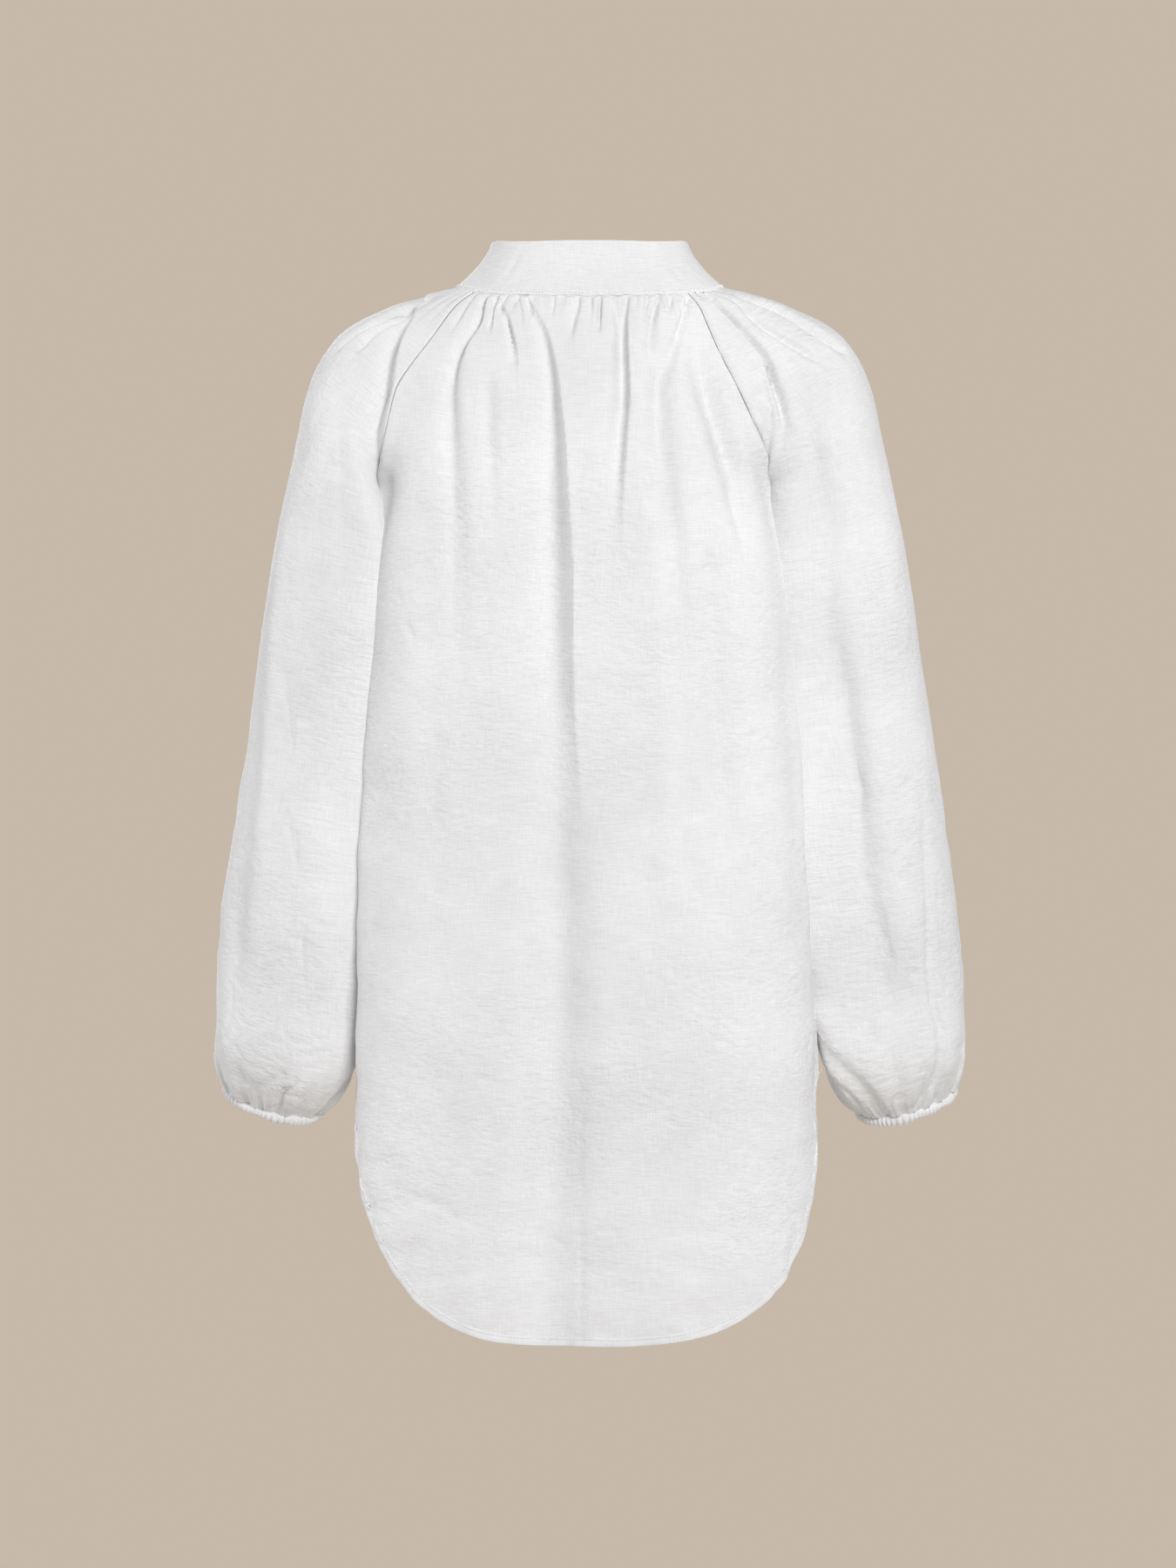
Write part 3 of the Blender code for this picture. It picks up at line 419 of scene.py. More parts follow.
# The studio: the camera looks at the back from straight behind
CAMERA_PLACE = (0.0014, 3.6, -0.373)
CAMERA_LENS = 105.7
ROOM_LIGHT = 0.35
# Name, place, size and power
LIGHTS = (
    ("key", (-0.85, 2.7, 0.6), 0.9, 59.0),
    ("right_side", (-2.9, -0.4, 0.3), 1.6, 16.0),
    ("left_side", (3.0, 0.1, 0.2), 1.6, 40.0),
    ("front_key", (0.7, -2.7, 0.6), 0.9, 60.0),
)
WALL_COLOUR = (0.565, 0.485, 0.397, 1.0)
FLOOR_COLOUR = (0.62, 0.58, 0.52, 1.0)
ROOM_COLOUR = (0.985, 0.982, 1.0, 1.0)


def flow(table, column, at):
    """A table's column at any value of its first column, on a smooth curve that never overshoots a row."""
    knots = np.array(next(iter(table.values())), float)
    values = np.array(table[column], float)
    at = np.clip(at, knots[0], knots[-1])
    gap = np.diff(knots)
    slope = np.diff(values) / gap
    product = slope[:-1] * slope[1:]
    total = np.where(product > 0, slope[:-1] + slope[1:], 1.0)
    tangent = np.concatenate([slope[:1], np.where(product > 0, 2 * product / total, 0.0), slope[-1:]])
    i = np.clip(np.searchsorted(knots, at, side="right") - 1, 0, len(gap) - 1)
    s = (at - knots[i]) / gap[i]
    start = values[i] * (1 + 2 * s) * (1 - s) ** 2 + gap[i] * tangent[i] * s * (1 - s) ** 2
    return start + values[i + 1] * s * s * (3 - 2 * s) + gap[i] * tangent[i + 1] * s * s * (s - 1)


def ease(value, low, high, floor=0.0):
    """The floor at or below low, 1 at or above high, and a smooth step between."""
    s = np.clip((value - low) / (high - low), 0, 1)
    return floor + (1 - floor) * s * s * (3 - 2 * s)


def between(value, rise, fall):
    """Eases from 0 to 1 over one range of the value and back to 0 over a later one."""
    return ease(value, *rise) * (1 - ease(value, *fall))


def bell(value, middle, width):
    """1 at the middle, falling off on both sides as the exponential of minus the square."""
    return np.exp(-(((value - middle) / width) ** 2))


def uneven(at, rate, sway, slow, shift=0.0):
    """A wave whose crests crowd and spread: the sine of the place times a rate, plus a slower sine of it."""
    return np.sin(rate * at + sway * np.sin(slow * at + shift))


def unit(vectors):
    """Vectors divided by their own lengths."""
    return vectors / np.linalg.norm(vectors, axis=-1, keepdims=True)


def arc(line):
    """How far along a line of points each of them is."""
    return np.concatenate([[0], np.linalg.norm(np.diff(line, axis=0), axis=1).cumsum()])


def oval(angle, half_width, back_y, front_y, heights):
    """A level oval seen from above, at angles from the centre back, with its heights from a column."""
    turn = np.radians(angle)
    y = (back_y + front_y) / 2 + (back_y - front_y) / 2 * np.cos(turn)
    return np.stack([half_width * np.sin(turn), y, flow(NECK_RISE, heights, np.abs(angle))], axis=-1)


def neck_seam(angle):
    """The collar seam at an angle from the centre back: an oval that drops towards the front."""
    return oval(angle, NECK_HALF_WIDTH, NECK_BACK_Y, NECK_FRONT_Y, "seam_z")


def collar_top(angle):
    """The collar's upper edge at an angle from the centre back."""
    return oval(angle, COLLAR_TOP_HALF_WIDTH, COLLAR_TOP_BACK_Y, COLLAR_TOP_FRONT_Y, "top_z")


def collar_sheet(u, t):
    """The collar stands on the seam and flares out to it: plan and height are blended at different rates."""
    low, high = neck_seam(u * COLLAR_END), collar_top(u * COLLAR_END)
    flat = high + (low - high) * (np.maximum(1 - t, 0) ** COLLAR_FLARE)[:, None]
    flat[:, 2] = low[:, 2] + (high[:, 2] - low[:, 2]) * t
    return flat


def collar_upward(u, t):
    """The direction up the collar's cloth."""
    return unit(collar_sheet(u, t + STEP) - collar_sheet(u, t))


def collar_outward(angle):
    """The direction that points out of the collar at its seam."""
    u = np.asarray(angle, float) / COLLAR_END
    along = neck_seam(angle + 0.1) - neck_seam(angle - 0.1)
    return unit(np.cross(collar_upward(u, np.zeros_like(u)), along))


def near_neck(t):
    """1 at the collar seam, where a sheet keeps to it exactly, and 0 further down."""
    return (1 - ease(t, 0.0, 0.3))[:, None]


def sleeve_section(w, t, hand):
    """One section of a sleeve: an arc of an ellipse from the front seam over the crown to the back seam."""
    wrap = np.radians(flow(SLEEVE, "wrap", t))
    rate = np.radians(flow(SLEEVE, "rate", t))
    turn = rate * w + (wrap - rate) * w**3
    lift = (np.cos(turn) - np.cos(wrap)) / (1 - np.cos(wrap))
    across = flow(SLEEVE, "half_depth", t) * np.sin(turn)
    back = flow(SLEEVE, "lean_back", t)
    front = np.where(t < 1, flow(SLEEVE, "lean_front", t), back)
    inner_x = flow(SLEEVE, "inner_x", t) + hand * (front + (back - front) * (1 + w) / 2)
    inner_z = flow(SLEEVE, "inner_z", t)
    x = inner_x + (flow(SLEEVE, "crown_x", t) - inner_x) * lift
    z = inner_z + (flow(SLEEVE, "crown_z", t) - inner_z) * lift + flow(SLEEVE, "dip", t) * across
    return np.stack([x, flow(SLEEVE, "mid_y", t) + across, z], axis=-1)


def back_raglan(hand):
    """Where a sleeve's back seam meets the collar seam, as an angle from the centre back."""
    return BACK_RAGLAN + hand * BACK_RAGLAN_TURN


def sleeve_angle(w, hand):
    """Where a point of a sleeve's top edge meets the collar seam, as an angle from the centre back."""
    return (back_raglan(hand) + FRONT_RAGLAN - w * (FRONT_RAGLAN - back_raglan(hand))) / 2


def sleeve_sheet(w, t, hand):
    """A sleeve before its folds, pulled onto the collar seam; the right one is made as a left one."""
    miss = neck_seam(sleeve_angle(w, hand)) - sleeve_section(w, np.zeros_like(t), hand)
    return sleeve_section(w, t, hand) + miss * near_neck(t)


def panel_edge(t, back, hand):
    """A side edge of a panel: the raglan seam down to the underarm, then the side seam."""
    raglan = sleeve_sheet(np.full_like(t, 1.0 if back else -1.0), np.minimum(t, 1.0), hand)
    side = np.stack([flow(SIDE_SEAM, name, t) for name in "xyz"], axis=-1)
    side[:, 0] += hand * flow(SIDE_SEAM, "lean", t)
    apart = SIDE_GAP / 2 + UNDERARM_EXTRA * (1 - ease(t, 1.0, 1.12))
    side[:, 1] += apart if back else -apart
    return np.where((t < 1)[:, None], raglan, side)


def slit_half_gap(t):
    """Half the width of the neck slit, which closes at its end."""
    return SLIT_HALF_GAP * np.clip(1 - t / SLIT_END, 0, 1) ** 1.3


def panel_sheet(side, t, back, hand):
    """Half a panel before its folds: arcs of a full, body-wide oval, with rows that bow down to the tail."""
    table = BACK if back else FRONT
    edge = panel_edge(t, back, hand)
    mid_y, mid_z, full = (flow(table, column, t) for column in ("mid_y", "mid_z", "full"))
    widest_y = flow(SIDE_SEAM, "y", t)
    reach = 1 - np.clip((edge[:, 1] - widest_y) / (mid_y - widest_y), 0, 1) ** full
    across = side + (np.sin(np.pi / 2 * side) - side) * ease(t, 0.0, 1.1)
    lip = np.zeros_like(t) if back else slit_half_gap(t)
    x = lip + (edge[:, 0] - lip) * across
    y = widest_y + (mid_y - widest_y) * np.maximum(1 - reach * across**full, 0) ** (1 / full)
    z = mid_z + (edge[:, 2] - mid_z) * side ** flow(table, "bow", t)
    sheet = np.stack([x, y, z], axis=-1)
    return sheet + (edge - sheet) * ease(side, 0.9, 1.0)[:, None]


def neck_angle(side, back, hand):
    """Where a panel's point meets the collar seam, as an angle from the centre back."""
    if back:
        return back_raglan(hand) * side
    return COLLAR_END - (COLLAR_END - FRONT_RAGLAN) * side


def half_panel(side, t, back, hand):
    """Half a panel pulled onto the collar seam; hand is 1 for the left half and -1 for the right one."""
    side = np.abs(side)
    miss = neck_seam(neck_angle(side, back, hand)) - panel_sheet(side, np.zeros_like(t), back, hand)
    return (panel_sheet(side, t, back, hand) + miss * near_neck(t)) * np.array([hand, 1, 1])


def whole_panel(u, t, back):
    """Both halves of a panel; u runs from the right edge, -1, to the left edge, 1."""
    left, right = half_panel(u, t, back, 1), half_panel(u, t, back, -1)
    return np.where((u < 0)[:, None], right, left)


def outward(sheet, which, u, t, facing):
    """The unit direction out of a sheet, from its slopes in u and t."""
    across = sheet(u + STEP, t, which) - sheet(u - STEP, t, which)
    down = sheet(u, np.minimum(t + STEP, 2), which) - sheet(u, np.maximum(t - STEP, 0), which)
    return unit(np.cross(across, down)) * facing


def turned_to_collar(out, t, angle):
    """Out directions that agree with the collar's own at the collar seam."""
    return unit(out + (collar_outward(angle) - out) * (1 - ease(t, 0, 0.12))[:, None])


def smooth_line(points, count):
    """Points along a smooth curve through the given ones: each span is the cubic of its four neighbours."""
    given = np.array(points, float)
    given = np.vstack([2 * given[0] - given[1], given, 2 * given[-1] - given[-2]])
    place = np.linspace(0, len(given) - 3, count)
    i = np.minimum(place.astype(int), len(given) - 4)
    f = (place - i)[:, None]
    a, b, c, d = given[i], given[i + 1], given[i + 2], given[i + 3]
    return 0.5 * (2 * b + (c - a) * f + (2 * a - 5 * b + 4 * c - d) * f**2 + (3 * b - a - 3 * c + d) * f**3)


def shared(values, along):
    """One value, or a list of values set evenly along a line, at a share of its length."""
    values = np.atleast_1d(np.array(values, float))
    return np.interp(along, np.linspace(0, 1, len(values)), values)


def beside(at, points, reach):
    """Which of the points (x, z) lie near a line, their gap to its nearest point, their distance from it, the
    side they are on, 1 for +x, and how far along the line they are, from 0 to 1."""
    line = smooth_line(points, 8 * len(points))
    near = ((at > line.min(axis=0) - reach) & (at < line.max(axis=0) + reach)).all(axis=1)
    start, step = line[:-1], np.diff(line, axis=0)
    gap = at[near][:, None] - start
    s = np.clip((gap * step).sum(axis=-1) / (step**2).sum(axis=-1), 0, 1)
    gap = gap - s[..., None] * step
    row, i = np.arange(len(gap)), (gap**2).sum(axis=-1).argmin(axis=1)
    gap, s, step = gap[row, i], s[row, i], step[i]
    # A line runs down, so the +x side is on its left as one looks at the back
    side = np.where(step[:, 0] * gap[:, 1] - step[:, 1] * gap[:, 0] > 0, 1, -1)
    return near, gap, np.hypot(gap[:, 0], gap[:, 1]), side, (i + s) / (len(line) - 1)


def laid_creases(at, creases):
    """The height and the sideways pull that creases give to points (x, z). Each crease is a bell across its
    line, with its own half width on each side; the nearest point of the line gives the depth. Its lip is a
    smaller bell beside it, and its lap moves the cloth of that side towards the line."""
    height, pull = np.zeros(len(at)), np.zeros((len(at), 2))
    for points, plus, minus, depths, *rest in creases:
        lip, lap = (*rest, 0, 0)[:2]
        near, gap, apart, side, along = beside(at, points, 3 * max(np.max(plus), np.max(minus)))
        width = np.where(side > 0, shared(plus, along), shared(minus, along))
        depth = shared(depths, along)
        part = depth / np.max(np.abs(depths))
        height[near] += -depth * bell(apart, 0, width)
        height[near] += abs(lip) * part * bell(apart, 1.5 * width, width) * (side == np.sign(lip))
        drawn = abs(lap) * part * bell(apart, width, 0.8 * width) * (side == np.sign(lap))
        pull[near] -= gap / np.maximum(apart, 1e-6)[:, None] * drawn[:, None]
    return height, pull


def laid_steps(at, stepped_folds):
    """The height that stepped folds give to points (x, z): on the +x side the cloth falls from the edge at a
    rate that dies away, and comes back along a wide bell; the other side carries a small lip."""
    height = np.zeros(len(at))
    for points, fall, reach, depths, lip in stepped_folds:
        near, _, apart, side, along = beside(at, points, 3 * np.max(reach))
        depth = shared(depths, along)
        walked = np.sqrt(apart**2 + EDGE_ROUND**2) - EDGE_ROUND
        low = depth * (1 - np.exp(-walked / shared(fall, along))) * bell(apart, 0, shared(reach, along))
        rim = lip * depth / np.max(depths) * bell(apart, 0, 5.0)
        height[near] += np.where(side > 0, rim * bell(apart, 0, 1.5) - low, rim)
    return height


def swells(x, z):
    """Wide troughs and ridges, each a bell across a straight line that fades in and out along its length;
    those that reach the hem don't fade out."""
    total = np.zeros_like(x)
    for x_start, z_start, x_end, z_end, width, depth in BACK_SWELLS:
        drop = z_start - z_end
        along = np.clip((z_start - z) / drop, 0, 1)
        ends = ease(along * drop, 0, 24) * (1 - ease(along, 0.6, 1.0))
        if z_end < -FRONT_LENGTH:
            ends = ease(along * drop, 0, 150)
        total -= depth * bell(x, x_end + (x_start - x_end) * (1 - along), width) * ends
    return total


def rumple(across, down, seed):
    """Smooth noise from about -1 to 1: seeded random values on a unit lattice, eased between its corners."""
    lattice = np.random.default_rng(seed).uniform(-1, 1, (64, 64))
    i, j = np.floor(across).astype(int), np.floor(down).astype(int)
    f, g = ease(across - i, 0, 1), ease(down - j, 0, 1)

    def row(below):
        left, right = lattice[i % 64, (j + below) % 64], lattice[(i + 1) % 64, (j + below) % 64]
        return left * (1 - f) + right * f

    return 1.6 * (row(0) * (1 - g) + row(1) * g)


def worn_creases(across, down, layers):
    """Small creases of worn linen: each layer is a net of soft troughs along the lines where one noise is
    nought, broken up by a second noise, and a gentle swell. A layer's sizes are those of its patches across
    and down."""
    total = np.zeros_like(across)
    for seed, wide, tall, lean, depth, sharp in layers:
        a, b = across / wide + lean * down / tall, down / tall - lean * across / wide
        line = bell(rumple(a, b, seed), 0, sharp)
        broken = ease(rumple(0.6 * a + 7, 0.8 * b, seed + 1), -0.1, 0.7)
        total += depth * (0.8 * rumple(1.3 * a, 1.3 * b + 5, seed + 2) - line * broken)
    return total


def seam_edge(apart, roll):
    """A sewn edge: the cloth swells a little over the layers of the seam and turns in at the edge."""
    return roll * bell(apart, 2.6, 2.2) - SEAM_TURN * bell(apart, 0, 1.0)


def hem_ripple(u, t, back):
    """Short puckers that the turned hem draws in the cloth above it, strongest low on the right."""
    strength = 1 + back * 1.6 * bell(u, -0.62, 0.12)
    wave = uneven(u, *HEM_PUCKERS) + 0.6 * np.sin(71 * u + 1.0)
    return HEM_PUCKER * strength * wave * ease(t, 1.955, 1.995)


def dress_panel(u, t, back):
    """A finished panel: its base sheet moved out by gathers, creases and swells, and sideways by the laps."""
    base = whole_panel(u, t, back)
    seen, across, hand = base[:, [0, 2]], np.abs(u), np.where(u < 0, -1, 1)
    off_middle = np.where(across < 2 * STEP, 2 * STEP * hand, u)
    angle = np.where(u < 0, neck_angle(across, back, -1), neck_angle(across, back, 1)) * hand
    out = turned_to_collar(outward(whole_panel, back, off_middle, t, 1 if back else -1), t, angle)
    edge = 1 - ease(across, 0.93, 0.99)
    start = ease(t, 0.0, 0.06, NECK_SHARE)

    height, pull = laid_creases(seen, BACK_CREASES if back else FRONT_CREASES)
    if back:
        height += swells(base[:, 0], base[:, 2]) + laid_steps(seen, BACK_STEPS)
    worn = worn_creases(PANEL_WIDE * u, base[:, 2], PANEL_RUMPLE[back])
    height += worn * ease(-base[:, 2], *WORN_FROM) * ease(t, 0.06, 0.3)
    hips = HIP_WAVE * np.sin(2.6 * np.pi * u + HIP_SHIFT[back]) * ease(t, 1.3, 1.9)
    height = (height * start + hips) * edge

    armpit = bell(across, *ARMPIT_ACROSS) * bell(t, *ARMPIT_DOWN)
    full = SIDE_FULL * bell(across, *SIDE_FULL_ACROSS) * between(t, *SIDE_FULL_DOWN) + ARMPIT_FULL * armpit
    height += full * back
    puffs = NECK_PUFF * np.abs(uneven(u, *NECK_PUFFS)) - NECK_PUFF_SUNK
    height += puffs * between(t, *NECK_PUFF_DOWN) * (1 - ease(across, 0.9, 1.0))
    height += hem_ripple(u, t, back) * (1 - ease(across, 0.93, 1.0))
    from_seam = (1 - across) * flow(SIDE_SEAM, "x", t) * np.clip(0.6 + 0.4 * t, 0, 1)
    height += seam_edge(from_seam, 0.0)

    made = base + out * height[:, None]
    made[:, [0, 2]] += pull * (edge * start)[:, None]
    lap = RAGLAN_LAP * bell(from_seam, 0, 1.5) * (1 - ease(t, 0.98, 1.0))
    made[:, 0] += hand * (lap + ARMPIT_WIDE * armpit)
    if not back:
        made[:, 0] -= FRONT_TUCK * hand * ease(across, 0.85, 1.0) * ease(t, 1.79, 1.88)
    return made


def cuff_axis(hand):
    """The direction in which the hand leaves a cuff, for a sleeve made as a left one."""
    ring = sleeve_sheet(np.array([0.0, 1.0, 0.5, -0.5]), np.full(4, 2.0), hand)
    axis = unit(np.cross(ring[0] - ring[1], ring[2] - ring[3]))
    return axis * -np.sign(axis[2])


def elastic_puckers(w, t):
    """What an elastic draws in the sleeve above it: long puckers that die out at uneven heights, broad ones
    that come and go round the wrist, and the first of the casing's fine ruffles."""
    climb = 1.885 - 0.035 * np.sin(13 * w + 0.8) - 0.02 * np.sin(29 * w)
    slender = LONG_PUCKER * (np.abs(uneven(w, *LONG_PUCKERS)) - 0.6) * ease(t, climb, 1.975)
    broad = 1 + np.cos(14 * np.pi * w + 1.4 * np.sin(2 * np.pi * w))
    broad = BROAD_PUCKER * broad * (0.65 + 0.35 * np.sin(3 * np.pi * w + 0.4)) * ease(t, 1.86, 1.965)
    return slender + broad + FINE_PUCKER * (np.abs(uneven(w, *FINE_PUCKERS)) - 0.4) * ease(t, 1.94, 1.985)


def dress_sleeve(w, t, hand):
    """A finished sleeve: its base sheet with pleats at the neck, creases, and puckers above the elastic."""
    base = sleeve_sheet(w, t, hand)
    across, mirror = np.abs(w), np.array([hand, 1])
    out = turned_to_collar(outward(sleeve_sheet, hand, w, t, -1), t, sleeve_angle(w, hand))
    axis = cuff_axis(hand)
    square = unit(out - (out @ axis)[:, None] * axis)
    out = unit(out + (square - out) * ease(t, 1.9, 1.97)[:, None])
    edge = 1 - ease(across, 0.94, 1.0)
    start = ease(t, 0.0, 0.08, NECK_SHARE)

    seen = base[:, [0, 2]] * mirror
    rear, rear_pull = laid_creases(seen, SLEEVE_CREASES[hand])
    rear += laid_steps(seen, SLEEVE_STEPS[hand])
    fore, fore_pull = laid_creases(base[:, [0, 2]], SLEEVE_FRONT_CREASES)
    turn = ease(w, -0.04, 0.04)
    height = rear * turn + fore * (1 - turn)
    pull = rear_pull * turn[:, None] * mirror + fore_pull * (1 - turn)[:, None]
    worn = worn_creases(SLEEVE_WIDE * w, base[:, 2] + 40 * hand, SLEEVE_RUMPLE)
    height += worn * ease(t, 1.1, 1.7, 0.5) * ease(t, 0.1, 0.5)
    height = height * start * edge

    rate = flow(SLEEVE, "rate", t)
    around = rate * across + (flow(SLEEVE, "wrap", t) - rate) * across**3
    height += SLEEVE_FULL * bell(around, *SLEEVE_FULL_ROUND) * between(t, *SLEEVE_FULL_DOWN) * edge
    lean = SLEEVE_LEAN + LOW_LEAN * ease(t, 1.4, 1.7)
    pull[:, 0] -= lean * bell(around, *SLEEVE_LEAN_ROUND) * between(t, *SLEEVE_LEAN_DOWN) * edge
    rear_arm = UPPER_ARM_FULL * bell(t, *UPPER_ARM_DOWN) - UNDERARM_SUNK * bell(t, *UNDERARM_DOWN)
    height += rear_arm * ease(w, 0.0, 0.3) * edge
    height += WRIST_FULL * bell(t, *WRIST_DOWN) * between(across, *WRIST_ACROSS)
    height -= SEAM_SUNK[hand] * bell(w, 0.93, 0.06) * bell(t, 1.06, 0.14)
    height += NECK_PLEAT * (np.abs(uneven(w, *NECK_PLEATS)) - 0.6) * (1 - ease(t, 0.04, 0.42)) * edge
    height += elastic_puckers(w, t)
    from_seam = (1 - across) * (80 + 110 * ease(t, 0, 1))
    height += seam_edge(from_seam, SEAM_ROLL[hand]) * np.where(t < 1.0, 1, 0.35)

    made = base + out * height[:, None]
    made[:, [0, 2]] += pull * (edge * start)[:, None]
    return (made + SLEEVE_SHIFT) * np.array([hand, 1, 1])


def grid(surface, across, down, which):
    """Lays a surface on every pair of two lists of parameters: rows run down and columns run across. which
    says which panel or sleeve it is."""
    t, u = (part.ravel() for part in np.meshgrid(down, across, indexing="ij"))
    return surface(u, t, which).reshape(len(down), len(across), 3)


def turned_out(points):
    """The unit normal at every point of a grid, from its neighbours along and across."""
    return unit(np.cross(np.gradient(points, axis=1), np.gradient(points, axis=0)))


def flat_map(base, level):
    """Cloth coordinates of a grid in metres, taken before its creases so that the threads run straight: the
    level distance walked across from the middle column, and the distance walked down that column. Where the
    weft is level, a point takes the distance of the middle column's point at its own height."""
    middle = base.shape[1] // 2
    stride = np.diff(base, axis=1) * np.array([1, 1, 0 if level else 1])
    across = np.pad(np.linalg.norm(stride, axis=-1).cumsum(axis=1), ((0, 0), (1, 0)))
    across -= across[:, middle][:, None]
    spine, walked = base[:, middle], arc(base[:, middle])
    down = np.broadcast_to(walked[:, None], across.shape)
    if level:
        # A first point 100 mm above the seam, for the rows that start higher than the middle column does
        above = spine[0, 2] + 100
        down = np.interp(-base[..., 2], np.append(-above, -spine[:, 2]), np.append(-100, walked))
    return np.stack([across, -down], axis=-1) * MM


def make_mesh(name, points, faces, flat, material, sharp_from):
    """A mesh from points in millimetres, faces as lists of corners, and cloth coordinates for each point."""
    mesh = bpy.data.meshes.new(name)
    mesh.from_pydata((points * MM).tolist(), [], faces)
    layer = mesh.uv_layers.new(name="cloth")
    corner = np.empty(len(mesh.loops), np.int32)
    mesh.loops.foreach_get("vertex_index", corner)
    layer.data.foreach_set("uv", np.ascontiguousarray(flat[corner], np.float32).ravel())
    mesh.shade_smooth()
    mesh.set_sharp_from_angle(angle=math.radians(sharp_from))
    mesh.materials.append(material)
    piece = bpy.data.objects.new(name, mesh)
    bpy.context.scene.collection.objects.link(piece)
    return piece


def faces_between(index, order):
    """Corner lists of the faces between neighbouring rows and columns of corner numbers."""
    corners = np.stack([index[:-1, :-1], index[1:, :-1], index[1:, 1:], index[:-1, 1:]], axis=-1)
    return corners.reshape(-1, 4)[:, order].tolist()


def tube(name, rings, walked, girth, material, way, closed=False):
    """A mesh from rings of points, one after the other, with cloth coordinates from how far each ring is
    along and how far each point is round. way is 1 or -1, whichever turns its faces outwards. Open ends are
    capped."""
    count, around = rings.shape[:2]
    index = np.arange(count * around).reshape(count, around)
    order = (0, 1, 2, 3) if way > 0 else (0, 3, 2, 1)
    faces = faces_between(np.pad(index, ((0, int(closed)), (0, 1)), mode="wrap"), order)
    if not closed:
        faces += [index[0, ::way].tolist(), index[-1, ::-way].tolist()]
    flat = np.stack(np.broadcast_arrays(walked[:, None], girth[None]), axis=-1).reshape(-1, 2) * MM
    return make_mesh(name, rings.reshape(-1, 3), faces, flat, material, SHARP_BAND)


def wall_layer(points, flat, slit_edge, first):
    """One layer of a wall: its points, their cloth coordinates, and the corner numbers of its two halves. The
    halves share the middle column, but each has its own over the rows of a slit."""
    rows, columns = points.shape[:2]
    cut = len(slit_edge)
    left = first + np.arange(rows * columns).reshape(rows, columns)
    right = left.copy()
    right[:cut, columns // 2] = first + left.size + np.arange(cut)
    place = np.concatenate([points.reshape(-1, 3), slit_edge])
    return place, np.concatenate([flat.reshape(-1, 2), flat[:cut, columns // 2]]), left, right


def layer_edges(left, right, cut):
    """The stretches of a layer's edge: the sides, both halves of the top, the bottom and the slit's edges."""
    middle = left.shape[1] // 2
    top = left[0, middle::-1], right[0, middle:][::-1]
    return left[:, 0], right[::-1, -1], *top, left[-1], left[cut::-1, middle], right[: cut + 1, middle]


def rim(outside, inside):
    """Faces that join a stretch of the outer edge, a few corners at a time, to the same inner stretch."""
    starts = np.arange(len(inside) - 1) * WALL_STEP
    outer_corners = outside[starts[:, None] + np.arange(WALL_STEP + 1)]
    return np.column_stack([outer_corners, inside[1:], inside[:-1]]).tolist()


def cloth_wall(name, points, flat, material, slit_edge=np.empty((0, 3))):
    """A closed sheet of cloth. Its outer side is the whole grid of points; its inner side is every few points
    of it, moved in by the linen's thickness; rims join them round the edge. flat holds the cloth coordinates,
    and slit_edge is the middle column's second edge, for the rows over which a slit cuts it open."""
    inward = turned_out(points) * -LINEN
    some = slice(None, None, WALL_STEP)
    inner_slit = (slit_edge + inward[: len(slit_edge), points.shape[1] // 2])[some]
    outer = wall_layer(points, flat, slit_edge, 0)
    inner = wall_layer((points + inward)[some, some], flat[some, some], inner_slit, len(outer[0]))
    faces = []
    for (*_, left, right), order in ((outer, (3, 2, 1, 0)), (inner, (0, 1, 2, 3))):
        middle = left.shape[1] // 2
        faces += faces_between(left[:, : middle + 1], order) + faces_between(right[:, middle:], order)
    edges = zip(layer_edges(*outer[2:], len(slit_edge)), layer_edges(*inner[2:], len(inner_slit)))
    for outside, inside in edges:
        faces += rim(outside, inside)
    place, flats = (np.concatenate([outer[i], inner[i]]) for i in range(2))
    return make_mesh(name, place, faces, flats, material, SHARP_CLOTH)


def stitch_row(name, line, out, material, pitch, length, thick):
    """A row of stitches: round-ended lozenges set end to end along a line, each half sunk in the cloth."""
    walked = arc(line)

    def along_line(values, at):
        return np.stack([np.interp(at, walked, column) for column in values.T], axis=-1)

    place = np.arange(pitch, walked[-1] - pitch, pitch)
    middle = along_line(line, place)
    along = unit(along_line(line, place + 0.5) - middle)
    out = unit(along_line(out, place))
    across = np.cross(along, out)
    offsets = [(0, 0, -0.5)]
    for end, girth in ((-0.36, 0.8), (0.0, 1.0), (0.36, 0.8)):
        offsets += [
            (math.cos(i * math.pi / 3) * girth, math.sin(i * math.pi / 3) * girth, end) for i in range(6)]
    offsets += [(0, 0, 0.5)]
    shape = np.array(offsets) * np.array([thick / 2, thick / 2, length])
    points = middle[:, None] + shape @ np.stack([across, out, along], axis=1)
    # Three rings of six corners between two tips
    ring = 1 + np.arange(18).reshape(3, 6)
    after = np.roll(ring, -1, axis=1)
    tips = np.stack(
        [np.repeat([0, 19], 6), np.append(after[0], ring[2]), np.append(ring[0], after[2])], axis=-1)
    sides = np.stack([ring[:-1], after[:-1], after[1:], ring[1:]], axis=-1).reshape(-1, 4)
    first = 20 * np.arange(len(middle))[:, None, None]
    faces = (first + tips).reshape(-1, 3).tolist() + (first + sides).reshape(-1, 4).tolist()
    flat = np.zeros((len(middle) * 20, 2)) + np.repeat(place * MM, 20)[:, None]
    return make_mesh(name, points.reshape(-1, 3), faces, flat, material, SHARP_STITCH)


